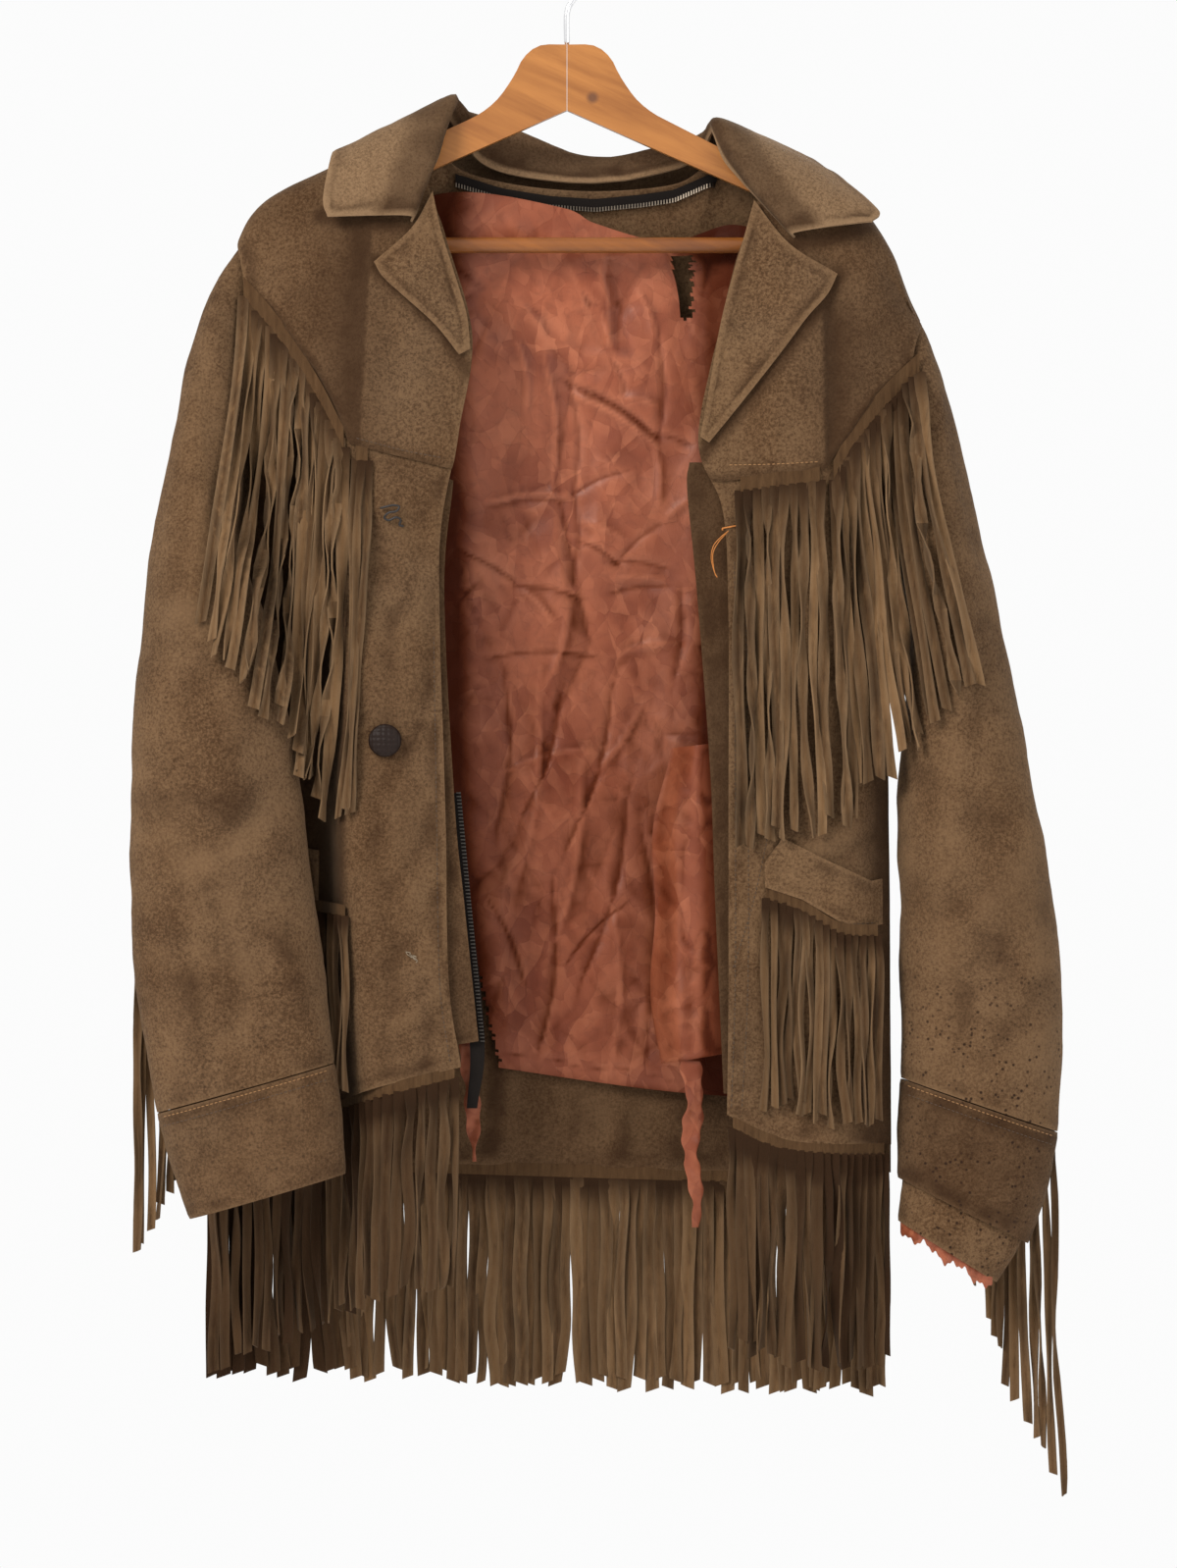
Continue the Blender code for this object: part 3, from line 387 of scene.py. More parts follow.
def creased(grid, creases, closed=False, outward=1.0, side=None, sharp=False):
    """How far each point moves out for troughs, of depth below 0, and ridges, of depth above 0.

    A crease is given by its ends as seen from the front, and fades out past them. Where a side is given
    only the points that face it move. A sharp crease has an edge, as pressed satin has.
    """
    facing = np.ones(grid.shape[:2])
    if side is not None:
        facing = soft_step(0.0, 0.5, normals(grid, closed)[..., 1] * outward * side)
    x = grid[..., 0]
    drop = -grid[..., 2]
    moved = np.zeros(grid.shape[:2])
    for c in creases:
        run = math.hypot(c.x1 - c.x0, c.drop1 - c.drop0)
        along = ((x - c.x0) * (c.x1 - c.x0) + (drop - c.drop0) * (c.drop1 - c.drop0)) / run**2
        aside = ((x - c.x0) * (c.drop1 - c.drop0) - (drop - c.drop0) * (c.x1 - c.x0)) / run
        bow = 0.06 * run * np.sin(np.pi * np.clip(along, 0, 1))
        fade = soft_step(-0.25, 0.2, along) * soft_step(-0.25, 0.2, 1 - along)
        apart = np.abs(aside - bow) / c.width
        profile = np.exp(-apart) if sharp else np.exp(-(apart**2))
        moved += c.depth * profile * fade
    return moved * facing


def facets(grid, pitch, tall, turn, seed):
    """Flat facets that meet at sharp folds, from -1 to 1 high, as in crushed satin.

    The facets are about pitch wide and tall times as long, and lean by turn degrees from the vertical.
    """
    draw = random.Random(seed)
    spread = 0.48
    lean = math.radians(turn)
    x = grid[..., 0] * math.cos(lean) + grid[..., 2] * math.sin(lean)
    z = (grid[..., 2] * math.cos(lean) - grid[..., 0] * math.sin(lean)) / tall
    points = []
    heights = []
    for a in np.arange(x.min() - 2 * pitch, x.max() + 2 * pitch, pitch):
        for b in np.arange(z.min() - 2 * pitch, z.max() + 2 * pitch, pitch):
            points.append(Vector([place + draw.uniform(-spread, spread) * pitch for place in (a, b)]))
            heights.append(draw.uniform(-1, 1))
    flat, _, cells, _, _, _ = geometry.delaunay_2d_cdt(points, [], [], 0, 1e-6)
    surface = BVHTree.FromPolygons([(p.x, p.y, h) for p, h in zip(flat, heights)], cells)
    found = np.zeros(grid.shape[:2])
    for j in range(grid.shape[0]):
        for i in range(grid.shape[1]):
            hit = surface.ray_cast(Vector((x[j, i], z[j, i], 5)), Vector((0, 0, -1)))[0]
            found[j, i] = hit.z if hit else 0.0
    return found


def to_border(grid, closed=False):
    """The distance of each point from the nearest of the grid's two ends and, if it is open, its sides."""
    down = np.linalg.norm(np.diff(grid, axis=0), axis=2)
    from_top = np.concatenate([np.zeros((1, grid.shape[1])), np.cumsum(down, axis=0)])
    found = np.minimum(from_top, from_top[-1] - from_top)
    if not closed:
        over = np.linalg.norm(np.diff(grid, axis=1), axis=2)
        from_side = np.concatenate([np.zeros((grid.shape[0], 1)), np.cumsum(over, axis=1)], axis=1)
        found = np.minimum(found, np.minimum(from_side, from_side[:, -1:] - from_side))
    return found


def add_piece(name, points, faces, material, nodes=(), marks=None):
    """One named mesh, from points in millimetres, that rides on the part's body."""
    mesh = bpy.data.meshes.new(name)
    mesh.from_pydata((np.asarray(points, float) * MM).tolist(), [], faces)
    for mark, values in (marks or {}).items():
        layer = mesh.attributes.new(mark, "FLOAT", "POINT")
        layer.data.foreach_set("value", np.asarray(values, np.float32))
    mesh.validate()
    mesh.shade_smooth()
    mesh.set_sharp_from_angle(angle=math.radians(48))
    mesh.materials.append(MATERIALS[material])
    piece = bpy.data.objects.new(name, mesh)
    bpy.context.scene.collection.objects.link(piece)
    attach(piece, BODY)
    if nodes:
        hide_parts(*nodes)


def shell(name, grid, thick, material, closed=False, torn=None, marks=None, extra=False):
    """A closed wall on both sides of a grid, thinner at its borders; torn cells stay open.

    It replaces the node of its own name, unless it is extra, and wears the material named.
    """
    high, wide = grid.shape[:2]
    sides = normals(grid, closed)
    border = to_border(grid, closed)
    half = thick / 2 * (RAW_EDGE + (1 - RAW_EDGE) * soft_step(0, 1.2 * thick, border))[..., None]
    points = np.concatenate([(grid + sides * half).reshape(-1, 3), (grid - sides * half).reshape(-1, 3)])
    columns = wide if closed else wide - 1
    inner = high * wide
    faces = []
    edges = set()
    for j in range(high - 1):
        for i in range(columns):
            if torn is not None and torn[j, i]:
                continue
            k = (i + 1) % wide
            a, b, c, d = j * wide + i, j * wide + k, (j + 1) * wide + k, (j + 1) * wide + i
            faces.append((a, b, c, d))
            faces.append((inner + d, inner + c, inner + b, inner + a))
            for edge in ((a, b), (b, c), (c, d), (d, a)):
                if (edge[1], edge[0]) in edges:
                    edges.remove((edge[1], edge[0]))
                else:
                    edges.add(edge)
    for a, b in sorted(edges):
        faces.append((b, a, inner + a, inner + b))
    if torn is None:
        order = None
    else:
        used = sorted({v for face in faces for v in face})
        order = {v: i for i, v in enumerate(used)}
        faces = [tuple(order[v] for v in face) for face in faces]
    both = {"border": border}
    both.update(marks or {})
    both = {mark: np.concatenate([np.ravel(v), np.ravel(v)]) for mark, v in both.items()}
    if order:
        points = points[used]
        both = {mark: v[used] for mark, v in both.items()}
    SURFACES[name] = BVHTree.FromPolygons(points.tolist(), faces)
    add_piece(name + "_cloth", points, faces, material, [] if extra else [name], both)


def surface_y(names, x, z, side):
    """The outermost y of the named pieces at x and z, seen from the front or the back."""
    found = None
    for name in names:
        hit = SURFACES[name].ray_cast(Vector((x, side * FAR, z)), Vector((0, -side, 0)))[0]
        if hit and (found is None or hit.y * side > found * side):
            found = hit.y
    return found


def cleared_y(point, names, clearance, side, reach=3.0, tall=3.0):
    """The y of a point, moved off the named pieces as they are over reach beside it and tall above it."""
    y = point[1]
    for dx in (-reach, 0, reach):
        for dz in (-tall, 0, tall):
            under = surface_y(names, point[0] + dx, point[2] + dz, side)
            if under is not None and (under + side * clearance) * side > y * side:
                y = under + side * clearance
    return y


def softened(values, times):
    """A grid of values, each drawn towards the mean of its neighbours so many times."""
    for _ in range(times):
        wide = np.pad(values, 1, mode="edge")
        beside = wide[1:-1, :-2] + wide[1:-1, 2:] + wide[:-2, 1:-1] + wide[2:, 1:-1]
        values = 0.5 * values + 0.125 * beside
    return values


def laid_on(grid, names, clearance, side, soft=12):
    """A grid whose points all keep clear of the named pieces, without steps where these end."""
    found = grid.copy()
    for j, row in enumerate(grid):
        for i, p in enumerate(row):
            found[j, i, 1] = cleared_y(p, names, clearance, side)
    found[..., 1] = softened(found[..., 1], soft)
    return found


def crossing(column, line):
    """How far along a column of points it meets a line of (x, drop) points, as a place among them."""
    xs = [x for x, _ in line]
    drops = [drop for _, drop in line]
    past = -column[:, 2] - np.interp(column[:, 0], xs, drops)
    over = np.flatnonzero(past >= 0)
    if not len(over):
        return len(column) - 1.0
    k = over[0]
    if k == 0:
        return 0.0
    return k - past[k] / (past[k] - past[k - 1])


def overlay(grid, lift, low, high=None, first=0.0, last=1.0, rows=60):
    """A grid that lies on part of another one, moved out by lift, between two lines of (x, drop)."""
    raised = moved_out(grid, lift)
    start = round(first * (grid.shape[1] - 1))
    end = round(last * (grid.shape[1] - 1))
    columns = []
    for i in range(start, end + 1):
        column = raised[:, i]
        top = crossing(column, high) if high else 0.0
        at = np.linspace(top, crossing(column, low), rows + 1)
        whole = np.arange(len(column))
        columns.append(np.stack([np.interp(at, whole, column[:, k]) for k in range(3)], axis=1))
    return np.stack(columns, axis=1)


def tube(rings, around, pitch):
    """A grid round a sleeve, from rings that each lie between an outer and an inner edge point."""
    rows = []
    for ring in rings:
        outer, inner = placed([(ring.outer_x, ring.outer_drop, ring.centre_y),
                               (ring.inner_x, ring.inner_drop, ring.centre_y)])
        turn = 2 * np.pi * np.arange(around)[:, None] / around
        row = (outer + inner) / 2 + (inner - outer) / 2 * np.cos(turn)
        row[:, 1] += np.sin(turn[:, 0]) * ring.half_depth
        rows.append(row)
    return between(np.array(rows), pitch)


class Shader:
    """A material's nodes, added one by one. An input that is given a socket is linked to it."""

    def __init__(self, name, **sockets):
        self.material = bpy.data.materials.new(name)
        self.material.use_nodes = True
        self.tree = self.material.node_tree
        self.surface = self.tree.nodes["Principled BSDF"]
        for socket, value in sockets.items():
            self.surface.inputs[socket.replace("_", " ")].default_value = value
        self.place = self.add("ShaderNodeTexCoord").outputs["Object"]
        MATERIALS[name] = self.material

    def add(self, kind, inputs=None, **settings):
        node = self.tree.nodes.new(kind)
        for key, value in settings.items():
            setattr(node, key, value)
        for key, value in (inputs or {}).items():
            if isinstance(value, bpy.types.NodeSocket):
                self.tree.links.new(value, node.inputs[key])
            else:
                node.inputs[key].default_value = value
        return node

    def vectors(self, operation, a, b, output=0):
        """Two vectors added, multiplied or combined in another way."""
        return self.add("ShaderNodeVectorMath", {0: a, 1: b}, operation=operation).outputs[output]

    def stretched(self, x, y, z, turn=0.0):
        """Object coordinates scaled by x, y and z, after a turn about Y in degrees."""
        turned = self.add("ShaderNodeVectorRotate", {"Vector": self.place, "Angle": math.radians(turn)},
                          rotation_type="Y_AXIS")
        return self.vectors("MULTIPLY", turned.outputs[0], (x, y, z))

    def noise(self, scale, detail=3.0, rough=0.55, at=None, bent=0.0):
        """Noise from 0 to 1 whose features are about one over scale of a metre wide."""
        inputs = {"Vector": at or self.place, "Scale": scale, "Detail": detail, "Roughness": rough,
                  "Distortion": bent}
        return self.add("ShaderNodeTexNoise", inputs).outputs["Fac"]

    def ramp(self, value, low, high, start=0.0, end=1.0):
        """value mapped from low..high to start..end."""
        inputs = {"Value": value, "From Min": low, "From Max": high, "To Min": start, "To Max": end}
        return self.add("ShaderNodeMapRange", inputs).outputs[0]

    def mark(self, name):
        """A number that the mesh holds for each of its points."""
        return self.add("ShaderNodeAttribute", attribute_name=name).outputs["Fac"]

    def times(self, a, b):
        return self.add("ShaderNodeMath", {0: a, 1: b}, operation="MULTIPLY").outputs[0]

    def blend(self, share, a, b):
        """Colour a where share is 0 and colour b where it is 1."""
        mixed = self.add("ShaderNodeMix", data_type="RGBA")
        for key, value in ((0, share), (6, a), (7, b)):
            if isinstance(value, bpy.types.NodeSocket):
                self.tree.links.new(value, mixed.inputs[key])
            else:
                mixed.inputs[key].default_value = value if key == 0 else (*value, 1.0)
        return mixed.outputs[2]

    def layered(self, base, layers):
        """base under rows of a value, its low and high, the shares there and the colour laid over it."""
        for value, low, high, start, end, colour in layers:
            base = self.blend(self.ramp(value, low, high, start, end), base, colour)
        return base

    def creases(self, scale, tall, turn):
        """Facets with sharp edges, about one over scale of a metre wide, each tilted its own way."""
        bent = self.add("ShaderNodeTexNoise", {"Vector": self.place, "Scale": scale * 0.5, "Detail": 2.0})
        shifted = self.vectors("MULTIPLY", bent.outputs["Color"], (0.012, 0.012, 0.012))
        at = self.vectors("ADD", self.stretched(1.0, 0.05, tall, turn), shifted)
        cells = self.add("ShaderNodeTexVoronoi", {"Vector": at, "Scale": scale, "Randomness": 1.0})
        tilt = self.vectors("SUBTRACT", cells.outputs["Color"], (0.5, 0.5, 0.5))
        inside = self.vectors("SUBTRACT", at, cells.outputs["Position"])
        height = self.vectors("DOT_PRODUCT", tilt, inside, "Value")
        return self.ramp(height, -0.5 / scale, 0.5 / scale)

    def colour(self, value):
        self.tree.links.new(value, self.surface.inputs["Base Color"])

    def roughness(self, value):
        self.tree.links.new(value, self.surface.inputs["Roughness"])

    def shine(self, value):
        self.tree.links.new(value, self.surface.inputs["Specular IOR Level"])

    def relief(self, layers):
        """Bumps from pairs of a height from 0 to 1 and its depth in millimetres."""
        under = None
        for height, depth in layers:
            inputs = {"Height": height, "Distance": depth * MM, "Strength": 1.0}
            if under:
                inputs["Normal"] = under
            under = self.add("ShaderNodeBump", inputs).outputs[0]
        self.tree.links.new(under, self.surface.inputs["Normal"])


# Colours, in linear light
SUEDE_LIGHT = (0.152, 0.088, 0.044)
SUEDE_MAIN = (0.074, 0.037, 0.0155)
SUEDE_DARK = (0.026, 0.011, 0.004)
SUEDE_GREY = (0.105, 0.066, 0.037)
COLLAR_LIGHT = (0.190, 0.117, 0.063)
COLLAR_MAIN = (0.110, 0.061, 0.029)
FRINGE_LIGHT = (0.150, 0.083, 0.037)
FRINGE_MAIN = (0.082, 0.041, 0.0165)
FRINGE_DARK = (0.018, 0.0075, 0.0026)
SUEDE_CUT = (0.190, 0.125, 0.070)
SUEDE_STAIN = (0.018, 0.008, 0.004)
# The lining's lit colour is a painted highlight, and its fold and deep colours are painted shade; the deep
# one also darkens small patches.
SATIN_MAIN = (0.215, 0.051, 0.020)
SATIN_PALE = (0.300, 0.088, 0.040)
SATIN_LIT = (0.400, 0.135, 0.066)
SATIN_FOLD_SHADE = (0.140, 0.028, 0.010)
SATIN_DEEP = (0.026, 0.004, 0.001)
WOOD_PALE = (0.330, 0.130, 0.030)
WOOD_GRAIN = (0.175, 0.056, 0.010)
# The bar's wood is the arms' wood made darker, as painted shade on the bar.
BAR_SHADED_PALE = (0.215, 0.068, 0.010)
BAR_SHADED_GRAIN = (0.110, 0.034, 0.008)
WOOD_KNOT = (0.110, 0.040, 0.014)

SUEDE_SHEEN = {"Specular_IOR_Level": 0.08, "Sheen_Weight": 0.06, "Sheen_Roughness": 0.6,
               "Sheen_Tint": (0.80, 0.62, 0.42, 1.0)}
KNOT_AT = (0.0172, -0.0055, -0.1077)
KNOT_RADIUS = 5.0
GRAIN_TURN = -24
# Satin's facets: their scale, height and turn, the share of a lit facet, and their relief in millimetres
SATIN_FACETS = ((24, 0.35, 12, 0.26, 2.6), (50, 0.45, -24, 0.34, 1.6), (100, 0.6, 32, 0.24, 0.8))


def suede(name, light, main, dark):
    """Napped suede, mottled and worn; its marks are wear with painted highlight, grime with painted shade,
    and spots.
    """
    s = Shader(name, Roughness=0.95, **SUEDE_SHEEN)
    clouds = s.noise(6, 3, 0.5, bent=0.3)
    brushed = s.noise(26, 4, 0.6, at=s.stretched(1.0, 1.0, 0.45), bent=0.3)
    patches = s.noise(55, 4, 0.6, bent=0.4)
    nap = s.noise(520, 4, 0.8)
    fibre = s.noise(1700, 3, 0.7)
    base = s.blend(s.ramp(clouds, 0.36, 0.72, 0.0, 0.35), main, dark)
    base = s.layered(base, (
        (brushed, 0.38, 0.76, 0.05, 0.80, light),
        (s.noise(12, 3, 0.5), 0.46, 0.76, 0.0, 0.5, SUEDE_GREY),
        (patches, 0.50, 0.80, 0.0, 0.40, dark),
        (nap, 0.47, 0.64, 0.0, 0.72, light),
        (nap, 0.50, 0.34, 0.0, 0.78, dark),
        # The wear mark is real wear, with painted highlight on crease ridges and rolled edges.
        (s.mark("wear_and_highlight"), 0.0, 1.0, 0.0, 0.75, light),
    ))
    # The grime mark is real grime, with painted shade in creases, recesses, seams and under other pieces.
    base = s.blend(s.times(s.mark("grime_and_shade"), s.ramp(patches, 0.25, 0.7, 0.75, 0.95)), base, dark)
    dots = s.add("ShaderNodeTexVoronoi", {"Vector": s.place, "Scale": 230.0, "Randomness": 1.0})
    small = s.ramp(dots.outputs["Distance"], 0.30, 0.16)
    some = s.ramp(s.noise(70, 2, 0.6), 0.42, 0.53)
    s.colour(s.blend(s.times(s.times(small, some), s.mark("spots")), base, SUEDE_STAIN))
    s.relief([(patches, 0.9), (nap, 0.75), (fibre, 0.3)])


def fringe_suede(name, light, main, dark):
    """Cut suede strips: tone differs from strip to strip, and streaks run down each one."""
    s = Shader(name, Roughness=0.92, **SUEDE_SHEEN)
    streaks = s.noise(330, 4, 0.65, at=s.stretched(1.0, 1.0, 0.16))
    base = s.blend(s.ramp(s.mark("tone"), 0.0, 1.0), dark, light)
    base = s.layered(base, (
        (s.noise(40, 4, 0.6), 0.35, 0.7, 0.1, 0.75, main),
        (streaks, 0.50, 0.72, 0.0, 0.55, light),
        (streaks, 0.46, 0.30, 0.0, 0.55, dark),
        (s.mark("edge"), 0.0, 1.0, 0.0, 0.5, SUEDE_CUT),
    ))
    # The grime mark darkens the strands: painted shade at their roots and where the fringe hangs in shade,
    # with some random dirt.
    s.colour(s.blend(s.mark("grime_and_shade"), base, dark))
    s.relief([(streaks, 0.5), (s.noise(420, 4, 0.7), 0.35)])


def satin(name):
    """Crushed, worn satin with a fine weave; its marks are painted shade (shade) and painted highlight
    (ridge), and each facet gets a painted highlight or painted shade by its height.
    """
    s = Shader(name, Roughness=0.5, Specular_IOR_Level=0.24, Sheen_Weight=0.02, Sheen_Roughness=0.4)
    wide = s.noise(13, 4, 0.6, bent=0.6)
    small = s.noise(90, 4, 0.6, bent=1.0)
    base = s.blend(s.ramp(wide, 0.32, 0.68), SATIN_MAIN, SATIN_PALE)
    base = s.layered(base, [(small, 0.5, 0.8, 0.0, 0.4, SATIN_DEEP)])
    calm = s.ramp(s.noise(15, 2, 0.5), 0.36, 0.62, 0.3, 1.0)
    reliefs = []
    # Each facet gets a painted highlight where it stands high and painted shade where it sinks into a fold.
    for scale, tall, turn, lit, depth in SATIN_FACETS:
        facet = s.creases(scale, tall, turn)
        base = s.blend(s.times(calm, s.ramp(facet, 0.50, 0.66, 0.0, lit)), base, SATIN_LIT)
        base = s.blend(s.times(calm, s.ramp(facet, 0.50, 0.34, 0.0, 1.6 * lit)), base, SATIN_FOLD_SHADE)
        reliefs.append((facet, depth))
    shade = s.mark("shade")
    # Painted highlight from the ridge mark and painted shade from the shade mark.
    s.colour(s.layered(base, (
        (s.mark("ridge"), 0.0, 1.0, 0.0, 0.45, SATIN_LIT),
        (shade, 0.0, 1.0, 0.0, 0.95, SATIN_DEEP),
    )))
    s.roughness(s.ramp(wide, 0.3, 0.7, 0.38, 0.52))
    # Less shine where shade is painted.
    s.shine(s.ramp(shade, 0.2, 0.8, 0.24, 0.02))
    weave = s.noise(900, 2, 0.6, at=s.stretched(1.0, 1.0, 0.25))
    s.relief(reliefs + [(small, 0.25), (weave, 0.08)])


def wood(name, pale, dark):
    """Clear-varnished wood with grain along the arms and one knot."""
    s = Shader(name, Roughness=0.42, Specular_IOR_Level=0.3, Coat_Weight=0.12, Coat_Roughness=0.2)
    grain = s.noise(60, 4, 0.6, at=s.stretched(0.10, 1.0, 1.0, GRAIN_TURN), bent=0.5)
    fine = s.noise(420, 3, 0.7, at=s.stretched(0.06, 1.0, 1.0, GRAIN_TURN))
    base = s.blend(s.ramp(grain, 0.35, 0.68), pale, dark)
    s.colour(s.layered(base, (
        (fine, 0.5, 0.75, 0.0, 0.4, dark),
        (s.noise(9, 2, 0.5), 0.4, 0.7, 0.0, 0.35, pale),
        (s.vectors("DISTANCE", s.place, KNOT_AT, "Value"), KNOT_RADIUS * MM, 0.4 * KNOT_RADIUS * MM, 0.0, 1.0,
         WOOD_KNOT),
    )))
    s.relief([(grain, 0.08), (fine, 0.04)])


def plain(name, colour, roughness, metallic=0.0, scale=700, depth=0.1, spread=0.35, shine=0.4):
    """A small part's material: its colour varied a little, over a fine relief."""
    s = Shader(name, Roughness=roughness, Metallic=metallic, Specular_IOR_Level=shine)
    grain = s.noise(scale, 3, 0.6)
    s.colour(s.blend(s.ramp(grain, 0.35, 0.7, 0.0, spread), colour, tuple(c * 0.45 for c in colour)))
    s.relief([(grain, depth)])


def materials():
    suede("suede", SUEDE_LIGHT, SUEDE_MAIN, SUEDE_DARK)
    suede("suede_collar", COLLAR_LIGHT, COLLAR_MAIN, SUEDE_DARK)
    fringe_suede("suede_fringe", FRINGE_LIGHT, FRINGE_MAIN, FRINGE_DARK)
    satin("lining")
    wood("wood", WOOD_PALE, WOOD_GRAIN)
    wood("wood_bar_shaded", BAR_SHADED_PALE, BAR_SHADED_GRAIN)
    plain("chrome", (0.75, 0.75, 0.76), 0.16, 1.0, depth=0.01, spread=0.1)
    plain("zip_tape", (0.010, 0.008, 0.007), 0.95, scale=1200, depth=0.2, shine=0.04)
    plain("zip_metal", (0.11, 0.09, 0.07), 0.42, 1.0, scale=500, depth=0.05)
    plain("zip_dull", (0.030, 0.025, 0.020), 0.5, 0.5, scale=500, depth=0.05)
    plain("thread_tan", (0.25, 0.125, 0.045), 0.7, scale=2500, depth=0.15)
    plain("thread_orange", (0.42, 0.145, 0.025), 0.7, scale=2500, depth=0.15)
    plain("thread_dark", (0.060, 0.036, 0.020), 0.8, scale=2500, depth=0.15)
    plain("thread_pale", (0.20, 0.155, 0.105), 0.85, scale=2500, depth=0.15)
    plain("wire", (0.020, 0.017, 0.016), 0.45, 0.4, depth=0.03)
    plain("button_leather", (0.011, 0.005, 0.003), 0.5, scale=900, depth=0.15, shine=0.14)


# The fold down each front yoke, as x and drop, and the side on which it falls away into painted shade
YOKE_FOLDS = {
    "yoke_right": ([(-129, 193), (-134, 262), (-138, 350)], -1),
    "yoke_left": ([(170, 250), (171, 300), (172, 360)], 1),
}
# Edges of the collar and lapel whose shadow is painted on each front yoke, as x and drop
YOKE_EDGES = {
    "yoke_right": ([(-164, 188), (-107, 197)], [(-130, 220), (-82, 267), (-66, 294)]),
    "yoke_left": ([(151, 208), (179, 203), (204, 194)], [(182, 229), (146, 282), (112, 324), (89, 350)]),
}
# Lower edge of the left inner cuff, as x and drop
CUFF_LINING = [(224, 862), (285, 901)]
LINING_SCRAP_ROWS = [
    [(-72, 738, -24), (-62, 738, -23)],
    [(-69, 780, -23), (-58, 780, -22)],
    [(-65, 822, -22), (-59, 822, -22)],
]

# Creases of the cloth, as the ends' x and drop, the half width and the depth, all in millimetres
FRONT_RIGHT_CREASES = [
    Crease(-138, 352, -128, 610, 9, -1.6),
    Crease(-96, 380, -118, 470, 8, -1.5),
    Crease(-90, 470, -112, 560, 7, -1.3),
    Crease(-84, 575, -118, 640, 9, -1.8),
    Crease(-84, 640, -128, 700, 10, -1.6),
    Crease(-80, 700, -120, 735, 8, 1.4),
    Crease(-124, 560, -92, 700, 12, 1.6),
    Crease(-112, 385, -104, 520, 14, 1.5),
    Crease(-128, 610, -122, 760, 10, -1.4),
    Crease(-100, 690, -96, 772, 7, -1.2),
    Crease(-104, 200, -150, 300, 16, 2.0),
    Crease(-180, 190, -150, 300, 14, -1.8),
    Crease(-120, 250, -118, 345, 10, -1.5),
]
FRONT_LEFT_CREASES = [
    Crease(120, 372, 132, 560, 10, -1.8),
    Crease(150, 380, 168, 560, 12, 1.8),
    Crease(112, 420, 124, 700, 8, 1.4),
    Crease(140, 560, 122, 780, 10, -1.8),
    Crease(176, 700, 168, 800, 9, -1.5),
    Crease(200, 590, 150, 620, 9, 1.8),
    Crease(172, 215, 175, 355, 9, -3.0),
    Crease(150, 190, 140, 330, 16, 2.2),
    Crease(205, 210, 190, 300, 14, 1.8),
    Crease(118, 300, 160, 340, 10, -1.6),
]
BACK_CREASES = [
    Crease(-120, 200, -100, 430, 22, 3.0),
    Crease(-40, 240, -60, 520, 18, -2.6),
    Crease(70, 220, 95, 470, 20, 2.6),
    Crease(150, 300, 120, 640, 16, -2.4),
    Crease(-170, 430, -140, 760, 18, 2.6),
    Crease(10, 420, 40, 800, 20, 2.4),
    Crease(-90, 560, -110, 810, 13, -2.0),
    Crease(100, 560, 80, 815, 14, -2.2),
    Crease(-60, 690, -52, 826, 9, -1.8),
    Crease(30, 740, 36, 830, 9, -1.4),
]
SLEEVE_RIGHT_CREASES = [
    Crease(-246, 250, -262, 520, 14, -2.6),
    Crease(-222, 330, -232, 620, 16, 2.4),
    Crease(-270, 430, -200, 500, 15, -2.2),
    Crease(-284, 560, -214, 600, 16, 2.2),
    Crease(-190, 560, -250, 640, 13, -2.2),
    Crease(-282, 660, -200, 710, 15, -1.8),
    Crease(-196, 640, -176, 752, 11, 2.0),
    Crease(-262, 640, -246, 780, 13, 2.0),
    Crease(-225, 620, -216, 772, 10, -1.5),
]
SLEEVE_LEFT_CREASES = [
    Crease(262, 330, 270, 560, 14, -2.4),
    Crease(240, 400, 250, 640, 13, 2.2),
    Crease(226, 560, 300, 610, 15, -2.0),
    Crease(318, 600, 250, 680, 14, 2.2),
    Crease(236, 640, 320, 720, 15, -1.8),
    Crease(300, 620, 306, 780, 13, 2.0),
    Crease(262, 700, 256, 775, 11, -1.6),
    Crease(326, 690, 268, 760, 12, -1.6),
]
